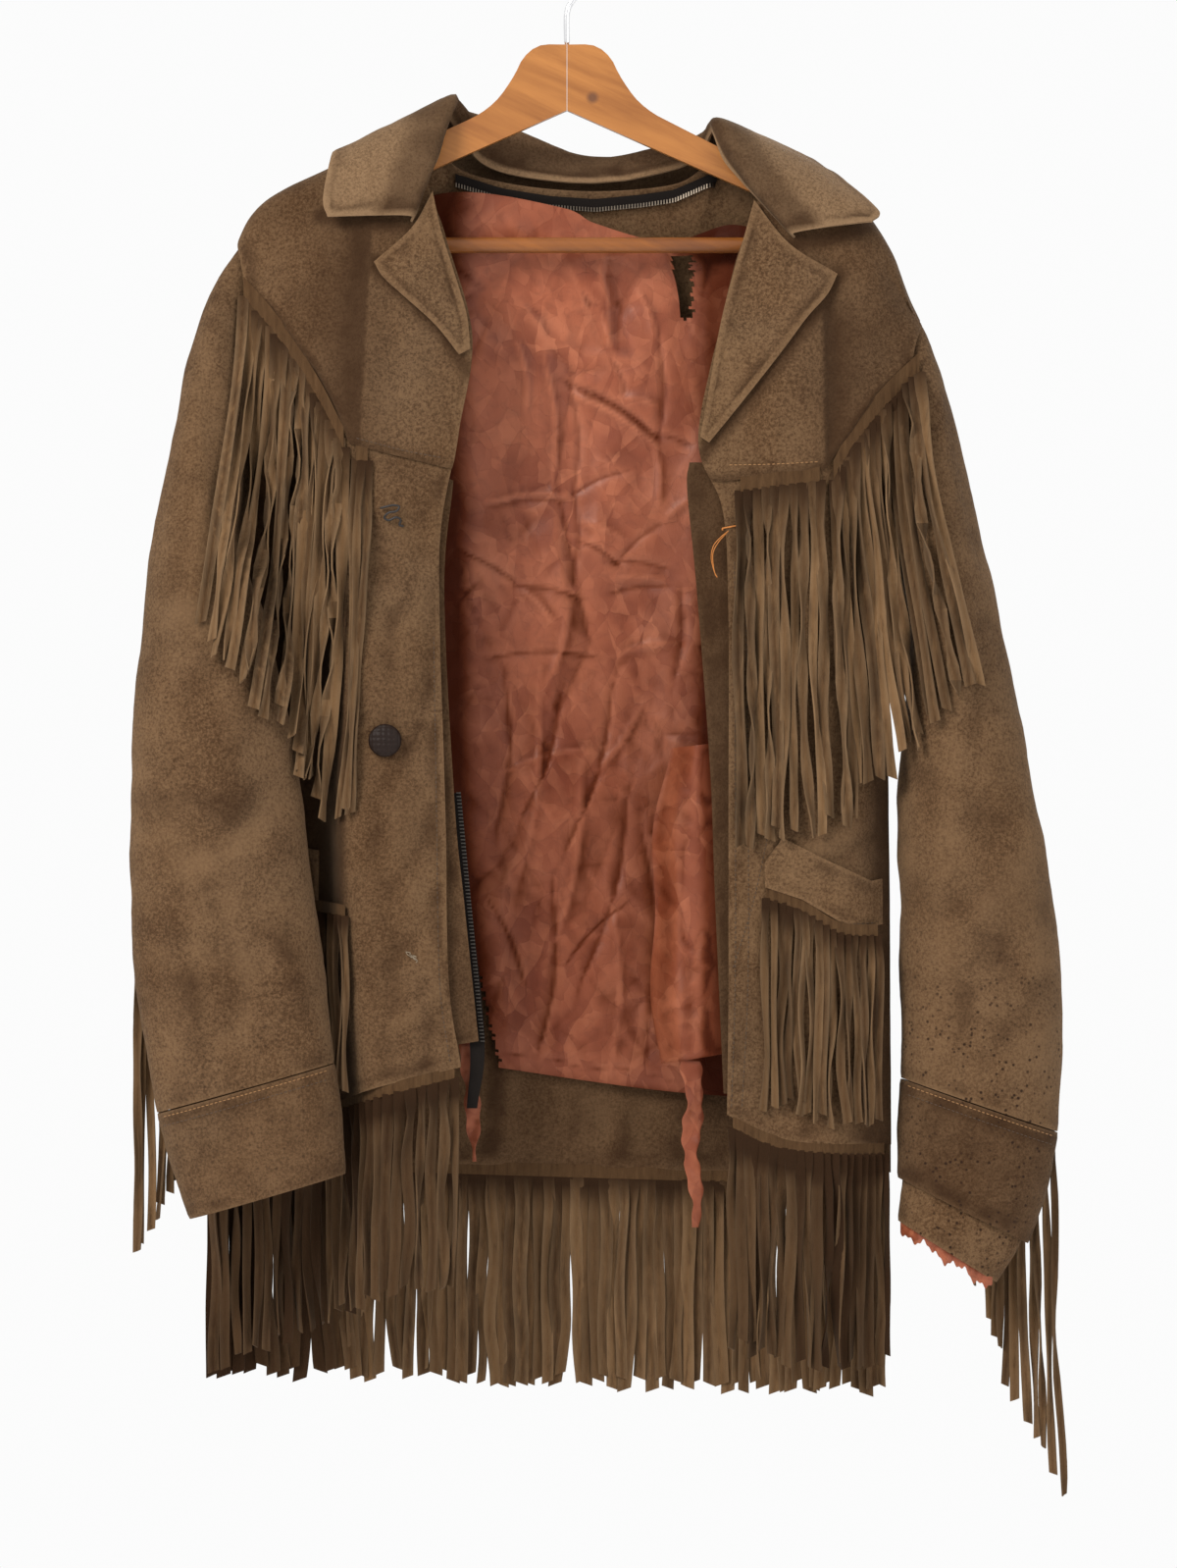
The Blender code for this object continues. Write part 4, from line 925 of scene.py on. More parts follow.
LINING_CREASES = [
    Crease(22, 220, 28, 270, 3, -2.0),
    Crease(-33, 270, -28, 318, 3, -2.4),
    Crease(-15, 283, -10, 366, 3, -2.6),
    Crease(2, 300, 5, 368, 3, 2.4),
    Crease(4, 370, 4, 430, 3, 2.6),
    Crease(3, 299, 60, 333, 4, 3.4),
    Crease(6, 306, 58, 338, 3, -3.6),
    Crease(60, 333, 84, 340, 3, 2.6),
    Crease(40, 308, 60, 312, 4, -3.0),
    Crease(49, 237, 60, 266, 3, -2.2),
    Crease(31, 283, 40, 307, 3, 2.0),
    Crease(-47, 377, -3, 374, 3, -3.0),
    Crease(-47, 381, -3, 378, 3, 2.6),
    Crease(5, 373, 40, 358, 3, 2.8),
    Crease(8, 405, 36, 421, 3, 2.4),
    Crease(10, 392, 38, 403, 3, -2.2),
    Crease(-67, 414, -32, 436, 3, 2.8),
    Crease(-32, 436, -10, 458, 3, -2.8),
    Crease(-38, 436, 8, 443, 4, 2.6),
    Crease(31, 419, 66, 423, 4, 3.0),
    Crease(31, 440, 66, 436, 4, 3.0),
    Crease(34, 430, 64, 430, 4, -3.0),
    Crease(34, 419, 66, 392, 3, 2.6),
    Crease(66, 392, 84, 377, 3, -2.6),
    Crease(3, 443, -15, 503, 4, -2.8),
    Crease(-52, 484, 22, 484, 3, 2.0),
    Crease(34, 482, 76, 473, 3, -2.4),
    Crease(62, 270, 62, 335, 3, 2.4),
    Crease(60, 341, 62, 380, 3, -2.2),
    Crease(77, 442, 72, 500, 4, 3.4),
    Crease(-42, 500, -48, 600, 5, 3.0),
    Crease(-20, 505, -36, 640, 4, -2.8),
    Crease(-5, 510, -30, 590, 3, 2.6),
    Crease(30, 505, 0, 610, 4, 2.8),
    Crease(48, 520, 20, 560, 3, -2.6),
    Crease(10, 560, -14, 690, 4, -3.0),
    Crease(40, 580, 10, 700, 4, 3.0),
    Crease(-52, 650, -30, 700, 4, 2.6),
    Crease(-10, 640, -20, 750, 4, 2.6),
    Crease(28, 640, 30, 760, 4, -2.6),
    Crease(50, 600, 54, 740, 5, 3.0),
    Crease(0, 690, 40, 650, 3, 2.2),
    Crease(-40, 560, 20, 545, 3, -2.4),
    Crease(-45, 752, 12, 762, 1.5, 1.6),
    Crease(12, 762, 71, 770, 1.5, 1.6),
]


def near_line(grid, line, reach):
    """1 on a line of (x, drop) points, down to 0 at reach from it."""
    best = np.full(grid.shape[:2], 1e9)
    x = grid[..., 0]
    drop = -grid[..., 2]
    for (x0, d0), (x1, d1) in zip(line, line[1:]):
        run = (x1 - x0) ** 2 + (d1 - d0) ** 2
        t = np.clip(((x - x0) * (x1 - x0) + (drop - d0) * (d1 - d0)) / run, 0, 1)
        best = np.minimum(best, np.hypot(x - x0 - t * (x1 - x0), drop - d0 - t * (d1 - d0)))
    return 1 - soft_step(0, reach, best)


def marks_of(grid, moved=None, closed=False, lines=(), spots=None, grime_and_shade=0.0, wear_and_highlight=0.0):
    """The wear and grime of a piece of suede from its borders, with painted highlight on its crease ridges
    and painted shade in its crease troughs and along its seams.
    """
    border = to_border(grid, closed)
    broken = rumple(grid, 22, 3)
    broad = rumple(grid, 75, 61)
    worn = wear_and_highlight + 0.55 * (1 - soft_step(0.4, 3.0, border)) * soft_step(-0.5, 0.3, broken)
    worn = worn + 0.2 * np.clip(broad, 0, 1)
    dirt = 0.5 * soft_step(2.0, 4.0, border) * (1 - soft_step(5, 16, border)) * soft_step(-0.2, 0.6, broken)
    dirt = dirt + grime_and_shade + 0.2 * np.clip(-broad, 0, 1)
    if moved is not None:
        apart = moved - softened(moved, 6)
        # Paler on raised creases and darker in sunken ones: painted highlight and painted shade.
        worn = worn + 0.15 * np.clip(moved / 2.5, 0, 1) + 0.5 * np.clip(apart / 0.4, 0, 1)
        dirt = dirt + 0.12 * np.clip(-moved / 2.5, 0, 1) + 0.5 * np.clip(-apart / 0.4, 0, 1)
    # Darker along the seams: painted shade.
    for line in lines:
        dirt = dirt + 0.5 * near_line(grid, line, 7)
    found = {"wear_and_highlight": np.clip(worn, 0, 1), "grime_and_shade": np.clip(dirt, 0, 1)}
    if spots is not None:
        found["spots"] = spots
    return found


def front_panel(rows, line, creases, outward):
    """A front as a fine grid with its creases, and how far each point was moved."""
    grid = net(shoulder_rows(line, FRONT) + [list(row) for row in rows], FRONT_COLUMNS, FRONT_PITCH)
    calm = soft_step(0, 45, -grid[..., 2] - 150) * soft_step(0, 12, to_border(grid) + 4)
    moved = (creased(grid, creases) + 1.3 * rumple(grid, 60, 5) + 0.35 * rumple(grid, 14, 9)) * calm
    return grid + normals(grid) * (moved * outward)[..., None], moved


def back_panel():
    """The back as a fine grid with its creases, and how far each point was moved."""
    ridge_right, below_right = shoulder_rows(SHOULDER_RIGHT[::-1], BACK)
    ridge_left, below_left = shoulder_rows(SHOULDER_LEFT, BACK)
    neck_low = [(x, drop + 9, y + 3) for x, drop, y in NECK_BACK]
    rows = [ridge_right + NECK_BACK + ridge_left, below_right + neck_low + below_left]
    grid = net(rows + [list(row) for row in BACK_ROWS], BACK_COLUMNS, BACK_PITCH)
    calm = soft_step(0, 45, -grid[..., 2] - 190) * soft_step(0, 16, to_border(grid) + 4)
    moved = (creased(grid, BACK_CREASES) + 1.6 * rumple(grid, 70, 11) + 0.35 * rumple(grid, 15, 13)) * calm
    moved = np.minimum(moved, 3.0)
    return grid + normals(grid) * moved[..., None], moved


def hidden_shade(name, grid):
    """Painted shade, as how much darker a panel is where other cloth covers it: low on the back, in a front's
    recess.
    """
    drop = -grid[..., 2]
    if name == "back":
        return 0.35 * soft_step(640, 740, drop)
    deep = 1.2 * soft_step(-34, -8, grid[..., 1])
    if name == "front_right":
        recess = soft_step(-192, -180, grid[..., 0]) * (1 - soft_step(-152, -144, grid[..., 0]))
        deep = deep + recess * soft_step(400, 460, drop)
    return deep


def fronts_and_back():
    """The fronts and the back, whose grids the other pieces are laid on."""
    grids = {}
    for name, (grid, moved) in (
        ("front_right", front_panel(FRONT_RIGHT_ROWS, SHOULDER_RIGHT, FRONT_RIGHT_CREASES, 1.0)),
        ("front_left", front_panel(FRONT_LEFT_ROWS, SHOULDER_LEFT, FRONT_LEFT_CREASES, -1.0)),
        ("back", back_panel()),
    ):
        marks = marks_of(grid, moved, grime_and_shade=0.2)
        # Painted shade where other cloth covers the panel.
        marks["grime_and_shade"] = np.clip(marks["grime_and_shade"] + hidden_shade(name, grid), 0, 1)
        shell(name, grid, SUEDE, "suede", marks=marks)
        grids[name] = grid
    return grids


def fold_side(grid, name):
    """The distance past a yoke's long fold, and how far down the fold has set in."""
    line, way = YOKE_FOLDS[name]
    drop = -grid[..., 2]
    past = way * (grid[..., 0] - np.interp(drop, [p[1] for p in line], [p[0] for p in line]))
    return past, soft_step(line[0][1] - 12, line[0][1] + 12, drop)


def yokes(grids):
    """Yokes, each laid on its panel, with the fold that runs down each front one, painted shade beside that
    fold and painted shadow under the collar and lapel.
    """
    for name, base, outward, line, first, last in (
        ("yoke_right", "front_right", 1, YOKE_RIGHT_LINE, 0, 0.985),
        ("yoke_left", "front_left", -1, YOKE_LEFT_LINE, 0, 0.985),
        ("back_yoke", "back", 1, YOKE_BACK_LINE, 0.05, 0.95),
    ):
        grid = overlay(grids[base], outward * YOKE_LIFT, line, first=first, last=last, rows=64)
        if base == "back":
            grid = grid[3:]
        to_seam = np.linalg.norm(grid - grid[-1], axis=2)
        furrow = soft_step(3, 8, to_seam) * (1 - soft_step(8, 15, to_seam))
        turned = (1 - soft_step(0, 6, to_seam)) * 1.3 - 0.5 * furrow
        grime_and_shade = 0.5
        if name in YOKE_FOLDS:
            past, down = fold_side(grid, name)
            far = np.maximum(past, 0)
            raised = np.where(past < 0, np.exp(np.minimum(past, 0) / 16), np.exp(-far / 2.5)) * 1.5
            raised -= 0.9 * (1 - np.exp(-far / 3)) * np.exp(-far / 14)
            turned = turned - raised * down * soft_step(0, 20, to_seam)
            # Painted shade beside the fold, on the side where it falls away, and painted shadow under the
            # collar's and lapel's edges.
            grime_and_shade = 0.42 + 0.95 * down * soft_step(-1.0, 1.5, past) * np.exp(-far / 34)
            grime_and_shade = grime_and_shade - 0.25 * down * (1 - soft_step(-26, 0, -np.abs(past)))
            for edge in YOKE_EDGES[name]:
                grime_and_shade = grime_and_shade + 0.75 * near_line(grid, edge, 10)
        grid = grid - normals(grid) * (turned * outward)[..., None]
        shell(name, grid, SUEDE, "suede", marks=marks_of(grid, lines=[line], grime_and_shade=grime_and_shade))


def lower_sleeve_spots(grid):
    """Where small dark stains lie thickest, on the lower part of a sleeve."""
    drop = -grid[..., 2]
    return soft_step(560, 700, drop) * (0.35 + 0.65 * soft_step(640, 760, drop))


def sleeves():
    """Sleeves and cuffs."""
    for name, rings, thick, creases, pitch in (
        ("sleeve_right", [SLEEVE_TUCK_RIGHT] + SLEEVE_RIGHT, SUEDE, SLEEVE_RIGHT_CREASES, SLEEVE_PITCH),
        ("sleeve_left", [SLEEVE_TUCK_LEFT] + SLEEVE_LEFT, SUEDE, SLEEVE_LEFT_CREASES, SLEEVE_PITCH),
        ("cuff_right", CUFF_RIGHT, DOUBLED_SUEDE, [], CUFF_PITCH),
        ("cuff_left", CUFF_LEFT, DOUBLED_SUEDE, [], CUFF_PITCH),
        ("cuff_inner_left", CUFF_INNER_LEFT, SUEDE, [], CUFF_PITCH),
    ):
        grid = tube(rings, SLEEVE_COLUMNS, pitch)
        ends = soft_step(0, 60, to_border(grid, True))
        moved = 1.6 * rumple(grid, 60, 17) * ends + 0.3 * rumple(grid, 14, 19) * soft_step(0, 12, ends * 60)
        if creases:
            front = creased(grid, creases, True, 1.0, FRONT)
            turned = [c._replace(drop0=c.drop0 + 24, drop1=c.drop1 - 16, depth=-c.depth) for c in creases]
            moved = moved + (front + creased(grid, turned, True, 1.0, BACK)) * ends
        grid = grid + normals(grid, True) * np.clip(1.3 * moved, -4.5, 2.4)[..., None]
        spots = lower_sleeve_spots(grid) * (1.0 if "left" in name else 0.45)
        grime_and_shade = {"cuff_left": 0.6, "cuff_right": 0.3}.get(name, 0.1)
        marks = marks_of(grid, moved, True, spots=spots, grime_and_shade=grime_and_shade)
        if name == "sleeve_left":
            marks["wear_and_highlight"] = np.clip(marks["wear_and_highlight"] + 0.18 * soft_step(500, 700, -grid[..., 2]), 0, 1)
        shell(name, grid, thick, "suede", closed=True, marks=marks)


def rolled_edge(grid, marks):
    """Marks with a painted highlight on the roll along the border and painted shade in the furrow inside it.
    """
    border = to_border(grid)
    roll = 1 - soft_step(3.5, 5, border)
    furrow = soft_step(3.5, 5, border) * (1 - soft_step(5, 9, border))
    return {**marks, "wear_and_highlight": np.clip(marks["wear_and_highlight"] + 0.28 * roll, 0, 1),
            "grime_and_shade": np.clip(marks["grime_and_shade"] * (1 - roll) + 0.35 * furrow, 0, 1)}


def collar_and_lapels():
    """The lapels lie on the fronts, and the collar stands round the neck and falls over it."""
    under = ["front_right", "yoke_right", "front_left", "yoke_left"]
    for name, rows in (("lapel_right", LAPEL_RIGHT_ROWS), ("lapel_left", LAPEL_LEFT_ROWS)):
        grid = laid_on(net(rows, 26, 3.2), under, 2.0, FRONT)
        border = to_border(grid)
        grid[..., 1] += 0.5 * soft_step(3.5, 5, border) * (1 - soft_step(5, 8, border))
        shell(name, grid, DOUBLED_SUEDE, "suede", marks=rolled_edge(grid, marks_of(grid)))
    grid = net([list(row) for row in COLLAR_ROWS], 44, 4.0)
    grid = grid + normals(grid) * (0.9 * rumple(grid, 40, 23) + 0.3 * rumple(grid, 12, 29))[..., None]
    marks = marks_of(grid, wear_and_highlight=0.3)
    # Painted shade on the stand, under the collar's fall.
    inside = 1 - soft_step(0, 14, np.linalg.norm(grid - grid[:, :1], axis=2) - 18)
    marks["grime_and_shade"] = np.clip(marks["grime_and_shade"] + 0.7 * inside, 0, 1)
    shell("collar", grid, DOUBLED_SUEDE, "suede_collar", marks=rolled_edge(grid, marks))


def edges():
    """Facing and edge band, just behind the fronts' edges, and the zip tapes."""
    # Each one's grime value darkens it, partly as painted shade where it lies back behind a front's edge.
    for name, rows, grime_and_shade in (
        ("facing_right", FACING_RIGHT_ROWS, 0.6),
        ("edge_band_left", EDGE_BAND_LEFT_ROWS, 0.85),
    ):
        grid = net(rows, 12, 4.0)
        shell(name, grid, SUEDE, "suede", marks=marks_of(grid, grime_and_shade=grime_and_shade))
    grid = net(ZIP_TAPE_FRONT_ROWS, 6, 4.0)
    shell("zip_tape_front", grid, TAPE, "zip_tape")


def crushed(grid, strength):
    """Facets of three sizes, the widest of them the deepest, as worn satin has."""
    wide = facets(grid, 46, 1.7, 16, 51)
    middle = facets(grid, 22, 1.5, -28, 53)
    fine = facets(grid, 11, 1.3, 34, 57)
    calm = 0.3 + 0.7 * soft_step(-0.25, 0.35, rumple(grid, 70, 59))
    return strength * (3.6 * wide + 2.9 * middle * calm + 1.0 * fine * calm)


def fold_marks(moved, shade, pitch=LINING_PITCH):
    """The marks of satin: painted shade and a painted highlight on each facet by the way that it faces, and
    along its fine creases.
    """
    apart = moved - softened(moved, 5)
    down, across = np.gradient(moved, pitch)
    facing = np.clip(1.5 * across - 1.1 * down, -1, 1)
    dark = 0.35 * np.clip(apart / 0.4, 0, 1) + 0.45 * np.clip(facing, 0, 1)
    pale = 0.6 * np.clip(-apart / 0.4, 0, 1) + 0.8 * np.clip(-facing, 0, 1)
    # The ridge mark is the painted highlight, and the shade mark the painted shade.
    return {"shade": np.clip(shade + dark, 0, 1), "ridge": np.clip(pale * (1 - shade), 0, 1)}


def neck_tape(grids):
    """The tape of the neck zip, laid on the inside of the back."""
    low = [(x, drop + TAPE_WIDTH) for x, drop in NECK_TAPE_TOP]
    tape = overlay(grids["back"], -(SUEDE + 1.0), low, NECK_TAPE_TOP, 0.33, 0.67, rows=4)
    shell("zip_tape_neck", tape, TAPE, "zip_tape")
    grids["zip_tape_neck"] = tape


def torn_cells(x, drop):
    """The cells of the back lining inside its slit and below its torn corner."""
    along = (drop - SLIT_DROP[0]) / (SLIT_DROP[1] - SLIT_DROP[0])
    fray = 1.3 * np.sin(drop * 1.9) + 1.1 * np.sin(drop * 0.71)
    centre = SLIT_X[0] + 6 + 4 * along + 0.5 * fray
    reach = (SLIT_X[1] - SLIT_X[0]) * (0.36 - 0.22 * along**2) + 0.6 * fray
    slit = (np.abs(x - centre) < reach) & (along > 0) & (along < 1)
    return slit | (x < -46 - 0.22 * (762 - drop) + 0.8 * fray) & (drop > 690)


def back_lining():
    """The back lining, crumpled and torn, with painted shade where the fronts, the neck and the hem shade it.
    """
    grid = net(LINING_ROWS, LINING_COLUMNS, LINING_PITCH)
    calm = soft_step(0, 26, to_border(grid) + 4)
    folds = 0.62 * creased(grid, [c._replace(width=0.62 * c.width) for c in LINING_CREASES], sharp=True)
    moved = (folds + crushed(grid, 1.0) + 1.6 * rumple(grid, 60, 31)) * calm
    moved = np.clip(moved - 4.5 * calm, -15.0, 1.6)
    grid = grid + normals(grid) * moved[..., None]
    x = grid[..., 0]
    drop = -grid[..., 2]
    # Painted shade by each front's edge, lower down and at the neck's corner.
    shade = 1 - soft_step(-84, -56, x - 14 * soft_step(560, 720, drop))
    shade = shade + 0.8 * soft_step(80, 98, x) + 0.42 * soft_step(240, 620, drop)
    shade = np.clip(shade + soft_step(60, 78, x) * (1 - soft_step(205, 222, drop)), 0, 1)
    torn = torn_cells(x, drop)[:-1, :-1]
    shell("lining_back", grid, SATIN, "lining", torn=torn, marks=fold_marks(moved, shade))


def lining_flap():
    """The loose flap of lining behind the left front's edge, curled at its free side."""
    grid = laid_on(net(LINING_FLAP_ROWS, 34, 2.0), ["edge_band_left", "front_left"], 1.5, BACK, soft=6)
    inward = 1 - soft_step(0, 26, np.linalg.norm(grid - grid[:, :1], axis=2))
    loose = soft_step(0, 10, to_border(grid) + 3)
    drape = 0.6 * np.sin(grid[..., 0] * 0.42 + grid[..., 2] * 0.012) * loose
    moved = np.minimum(crushed(grid, 1.0) * loose + drape, 1.0 + 2.0 * inward)
    grid = grid + normals(grid) * moved[..., None]
    grid[..., 1] += 16 * inward**2
    grid[..., 0] += 2.2 * inward * np.sin(grid[..., 2] * 0.055)
    # Painted shade over the whole flap, deeper at its curled free side and by the left front's edge.
    shade = 0.35 + 0.1 * inward**2 + 0.5 * soft_step(84, 96, grid[..., 0])
    shell("lining_flap", grid, SATIN, "lining", marks=fold_marks(moved, shade, 2.0))


def lining_strip():
    """The torn strip that hangs from the flap's foot and twists on its way down."""
    grid = net(LINING_STRIP_ROWS, 10, 1.8)
    share = np.linspace(0, 1, grid.shape[0])[:, None]
    middle = grid.mean(axis=1, keepdims=True)
    ragged = 1.25 + 0.3 * np.sin(31 * share) * np.sin(12 * share + 1) - 0.6 * share**3
    turn = 0.5 * np.sin(7.5 * share) * soft_step(0.05, 0.3, share)
    away = (grid - middle)[..., 0] * ragged
    grid = middle + np.stack([away * np.cos(turn), away * np.sin(turn), 0 * away], axis=2)
    grid[..., 0] += 2.2 * np.sin(9 * share) * soft_step(0, 0.3, share)
    grid = grid + normals(grid) * (0.9 * rumple(grid, 9, 41, 3) * soft_step(0, 0.2, share))[..., None]
    # Painted shade and highlight across the strip's twist, over a little painted shade.
    shell("lining_strip", grid, SATIN, "lining", marks=fold_marks(away, 0.25, 9.0))


def cuff_lining():
    """The ragged end of a sleeve's lining, just inside the inner cuff of the left sleeve."""
    columns = 90
    rows = 7
    (x0, drop0), (x1, drop1) = CUFF_LINING
    grid = np.zeros((rows, columns, 3))
    for i in range(columns):
        share = i / (columns - 1)
        x = x0 + (x1 - x0) * share
        drop = drop0 + (drop1 - drop0) * share
        seat = surface_y(["cuff_inner_left"], x, -(drop - 6), FRONT)
        torn = 6.5 + 2.2 * math.sin(17 * share) + 1.7 * math.sin(41 * share + 1) + 0.9 * math.sin(97 * share)
        for j in range(rows):
            t = j / (rows - 1)
            sway = 1.1 * math.sin(24 * share) * t
            grid[j, i] = (x, seat + 3.4 + sway, -(drop - 7 + (7 + torn) * t))
    # A little painted shade, with painted shade and highlight on its rumples.
    marks = fold_marks(1.5 * rumple(grid, 8, 43), 0.1)
    shell("cuff_lining", grid, SATIN, "lining", marks=marks, extra=True)


def lining_scrap():
    """A torn scrap of lining left behind the right front's edge, down past the hem."""
    grid = net(LINING_SCRAP_ROWS, 8, 1.8)
    share = np.linspace(0, 1, grid.shape[0])[:, None]
    middle = grid.mean(axis=1, keepdims=True)
    ragged = 1 + 0.35 * np.sin(19 * share) * np.sin(7 * share + 2) - 0.6 * share**4
    grid = middle + (grid - middle) * ragged[..., None]
    grid[..., 1] += 1.2 * np.sin(11 * share + grid[..., 0] * 0.4)
    # Painted shade over the scrap, with painted shade and highlight on its rumples.
    shell("lining_scrap", grid, SATIN, "lining", marks=fold_marks(rumple(grid, 9, 47), 0.45), extra=True)


def pocket_flaps(grids):
    """Pocket flaps, each laid on its front."""
    left = overlay(grids["front_left"], -FLAP_LIFT, FLAP_LEFT_LOW, FLAP_LEFT_TOP, 0.2, 0.9, 24)
    shell("pocket_flap_left", left, DOUBLED_SUEDE, "suede", marks=marks_of(left))
    right = overlay(grids["front_right"], FLAP_LIFT + 1.2, FLAP_RIGHT_LOW, FLAP_RIGHT_TOP, 0.6, 0.9, 24)
    shell("pocket_flap_right", right, DOUBLED_SUEDE, "suede", marks=marks_of(right))


Fringe = namedtuple("Fringe", "count width start end side drift under clearance tuck swing dark")

# Strands hang from start to end long from one end of the root to the other, and are tucked up under a seam
RIGHT_UNDER = ["front_right", "sleeve_right", "cuff_right"]
LEFT_UNDER = ["front_left", "sleeve_left", "cuff_left", "pocket_flap_left"]
BACK_UNDER = ["back", "sleeve_right", "sleeve_left"]
SLEEVE_LEFT_UNDER = ["sleeve_left", "cuff_left"]
# The last column, dark, is painted shade on the strands, from its first value at the first root to its second
# a third of the way along.
FRINGES = {
    "yoke_right": Fringe(19, 8.2, 232, 246, FRONT, (-24, -12), RIGHT_UNDER, 3.0, 13, 95, (0, 0.05)),
    "chest_right": Fringe(3, 6.5, 240, 240, FRONT, (-10, -8), RIGHT_UNDER, 1.9, 9, 75, (0.1, 0.1)),
    "yoke_left": Fringe(18, 7.8, 235, 214, FRONT, (8, 38), LEFT_UNDER, 3.0, 13, 90, (0.2, 0.15)),
    "chest_left": Fringe(10, 7.4, 240, 236, FRONT, (1, 6), LEFT_UNDER, 3.0, 9, 80, (0.1, 0.1)),
    "pocket_left": Fringe(16, 5.8, 140, 124, FRONT, (0, 0), ["front_left"], 1.9, 7, 75, (0.35, 0.3)),
    "pocket_right": Fringe(9, 6.0, 118, 112, FRONT, (0, 0), ["front_right"], 1.9, 7, 75, (0.5, 0.5)),
    "hem_right": Fringe(27, 7.2, 138, 138, FRONT, (0, 0), [], 1.9, 7, 70, (0.55, 0.75)),
    "hem_left": Fringe(20, 7.4, 146, 142, FRONT, (0, 0), [], 1.9, 7, 70, (0.8, 0.8)),
    "hem_back": Fringe(74, 8.8, 140, 142, BACK, (0, 0), [], 1.9, 8, 26, (1.15, 0.25)),
    "back_yoke": Fringe(50, 7.8, 235, 235, BACK, (0, 0), BACK_UNDER, 2.4, 12, 90, (0.05, 0.05)),
    "sleeve_right": Fringe(14, 6.0, 235, 238, BACK, (0, 0), ["sleeve_right"], 1.9, 5, 75, (0.35, 0.3)),
    "sleeve_left": Fringe(20, 6.0, 238, 246, BACK, (0, 4), SLEEVE_LEFT_UNDER, 1.9, 5, 75, (0.4, 0.4)),
}
STRAND_LEVELS = 22
FULL_LEAN = 230.0
ROOT_CLEARANCE = 1.25


class Strips:
    """Points, faces and marks of a fringe, gathered strand by strand."""

    def __init__(self):
        self.points = []
        self.faces = []
        self.tone = []
        self.edge = []
        self.grime_and_shade = []

    def point(self, place, tone, edge, grime_and_shade):
        self.points.append(place)
        self.tone.append(tone)
        self.edge.append(edge)
        self.grime_and_shade.append(grime_and_shade)

    def ends(self, a, b):
        """Close the first section, of six points from a on, and the last, from b on."""
        self.faces += [(a, a + 2, a + 3, a + 1), (a + 2, a + 4, a + 5, a + 3)]
        self.faces += [(b, b + 1, b + 3, b + 2), (b + 2, b + 3, b + 5, b + 4)]

    def join(self, a):
        """Join the section of six points from a on to the next one."""
        b = a + 6
        self.faces += [(a, b, b + 2, a + 2), (a + 2, b + 2, b + 4, a + 4), (a + 1, a + 3, b + 3, b + 1)]
        self.faces += [(a + 3, a + 5, b + 5, b + 3), (a, a + 1, b + 1, b), (a + 4, b + 4, b + 5, a + 5)]


def band(strips, cut, roots):
    """The narrow strip that the strands of a fringe are cut from."""
    line = curve(roots, 2 * cut.count + 1)
    top = line + np.array([0, 0, cut.tuck])
    for p in top:
        p[1] = cleared_y(p, cut.under[:1], ROOT_CLEARANCE - 0.3, cut.side, 1, 1)
    start = len(strips.points)
    for low, high in zip(line, top):
        for share in (1.0, 0.5, -0.1):
            p = low + (high - low) * share
            for dy in (-STRAND_THICK / 2, STRAND_THICK / 2):
                strips.point((p[0], p[1] + dy, p[2]), 0.5, 0.0, 0.5)
    for i in range(len(line) - 1):
        strips.join(start + 6 * i)
    strips.ends(start, len(strips.points) - 6)


def strand(strips, cut, root, share, clump, draw, layer):
    """One cupped strip that turns now and then as it hangs."""
    length = (cut.start + (cut.end - cut.start) * share) * draw.uniform(0.945, 1.02)
    drift = cut.drift[0] + (cut.drift[1] - cut.drift[0]) * share
    lean = (clump + draw.uniform(-2.4, 2.4)) * min(1.0, cut.start / FULL_LEAN)
    half = cut.width / 2 * draw.uniform(0.82, 1.12)
    wave = draw.uniform(0.4, 1.7)
    pitch = draw.uniform(0.7, 1.7)
    phase = draw.uniform(0, 2 * math.pi)
    turn = math.radians(draw.uniform(-30, 30))
    swing = math.radians(cut.swing * draw.uniform(0.25, 1.15))
    turns = draw.uniform(0.6, 1.3) * cut.start / 150
    spin = draw.uniform(0, 2 * math.pi)
    cup = draw.uniform(-0.30, 0.30)
    shade = draw.random()
    dirt = 0.5 * (draw.random() - 0.5)
    # The fringe's painted shade at this strand.
    dark = cut.dark[0] + (cut.dark[1] - cut.dark[0]) * min(1.0, 3.2 * share)
    curl = draw.uniform(-1, 1) ** 3 * 7
    path = []
    angles = []
    for level in range(STRAND_LEVELS + 1):
        t = level / STRAND_LEVELS
        set_in = float(soft_step(0.0, 0.16, t))
        angle = set_in * (turn + swing * math.sin(2 * math.pi * turns * t + spin))
        x = root[0] + drift * t**1.5 + lean * t + wave * set_in * math.sin(2 * math.pi * pitch * t + phase)
        x += curl * max(0.0, t - 0.75) * 2
        z = root[2] - length * t
        swept = half * abs(math.sin(angle))
        y = root[1]
        if cut.under and level:
            spread = (half, length / STRAND_LEVELS)
            y = cleared_y((x, y, z), cut.under, cut.clearance - 1.1 + swept, cut.side, *spread)
        path.append([x, y + cut.side * (layer * set_in + (0 if cut.under else 0.6 * swept)), z])
        angles.append(angle)
    path = np.array(path)
    calm = path[:, 1].copy()
    for _ in range(6):
        calm[1:-1] = 0.5 * calm[1:-1] + 0.25 * (calm[:-2] + calm[2:])
    path[:, 1] = cut.side * np.maximum(cut.side * path[:, 1] - 0.6, cut.side * calm)
    add_strand(strips, path, angles, half, cup, shade, dark, dirt)


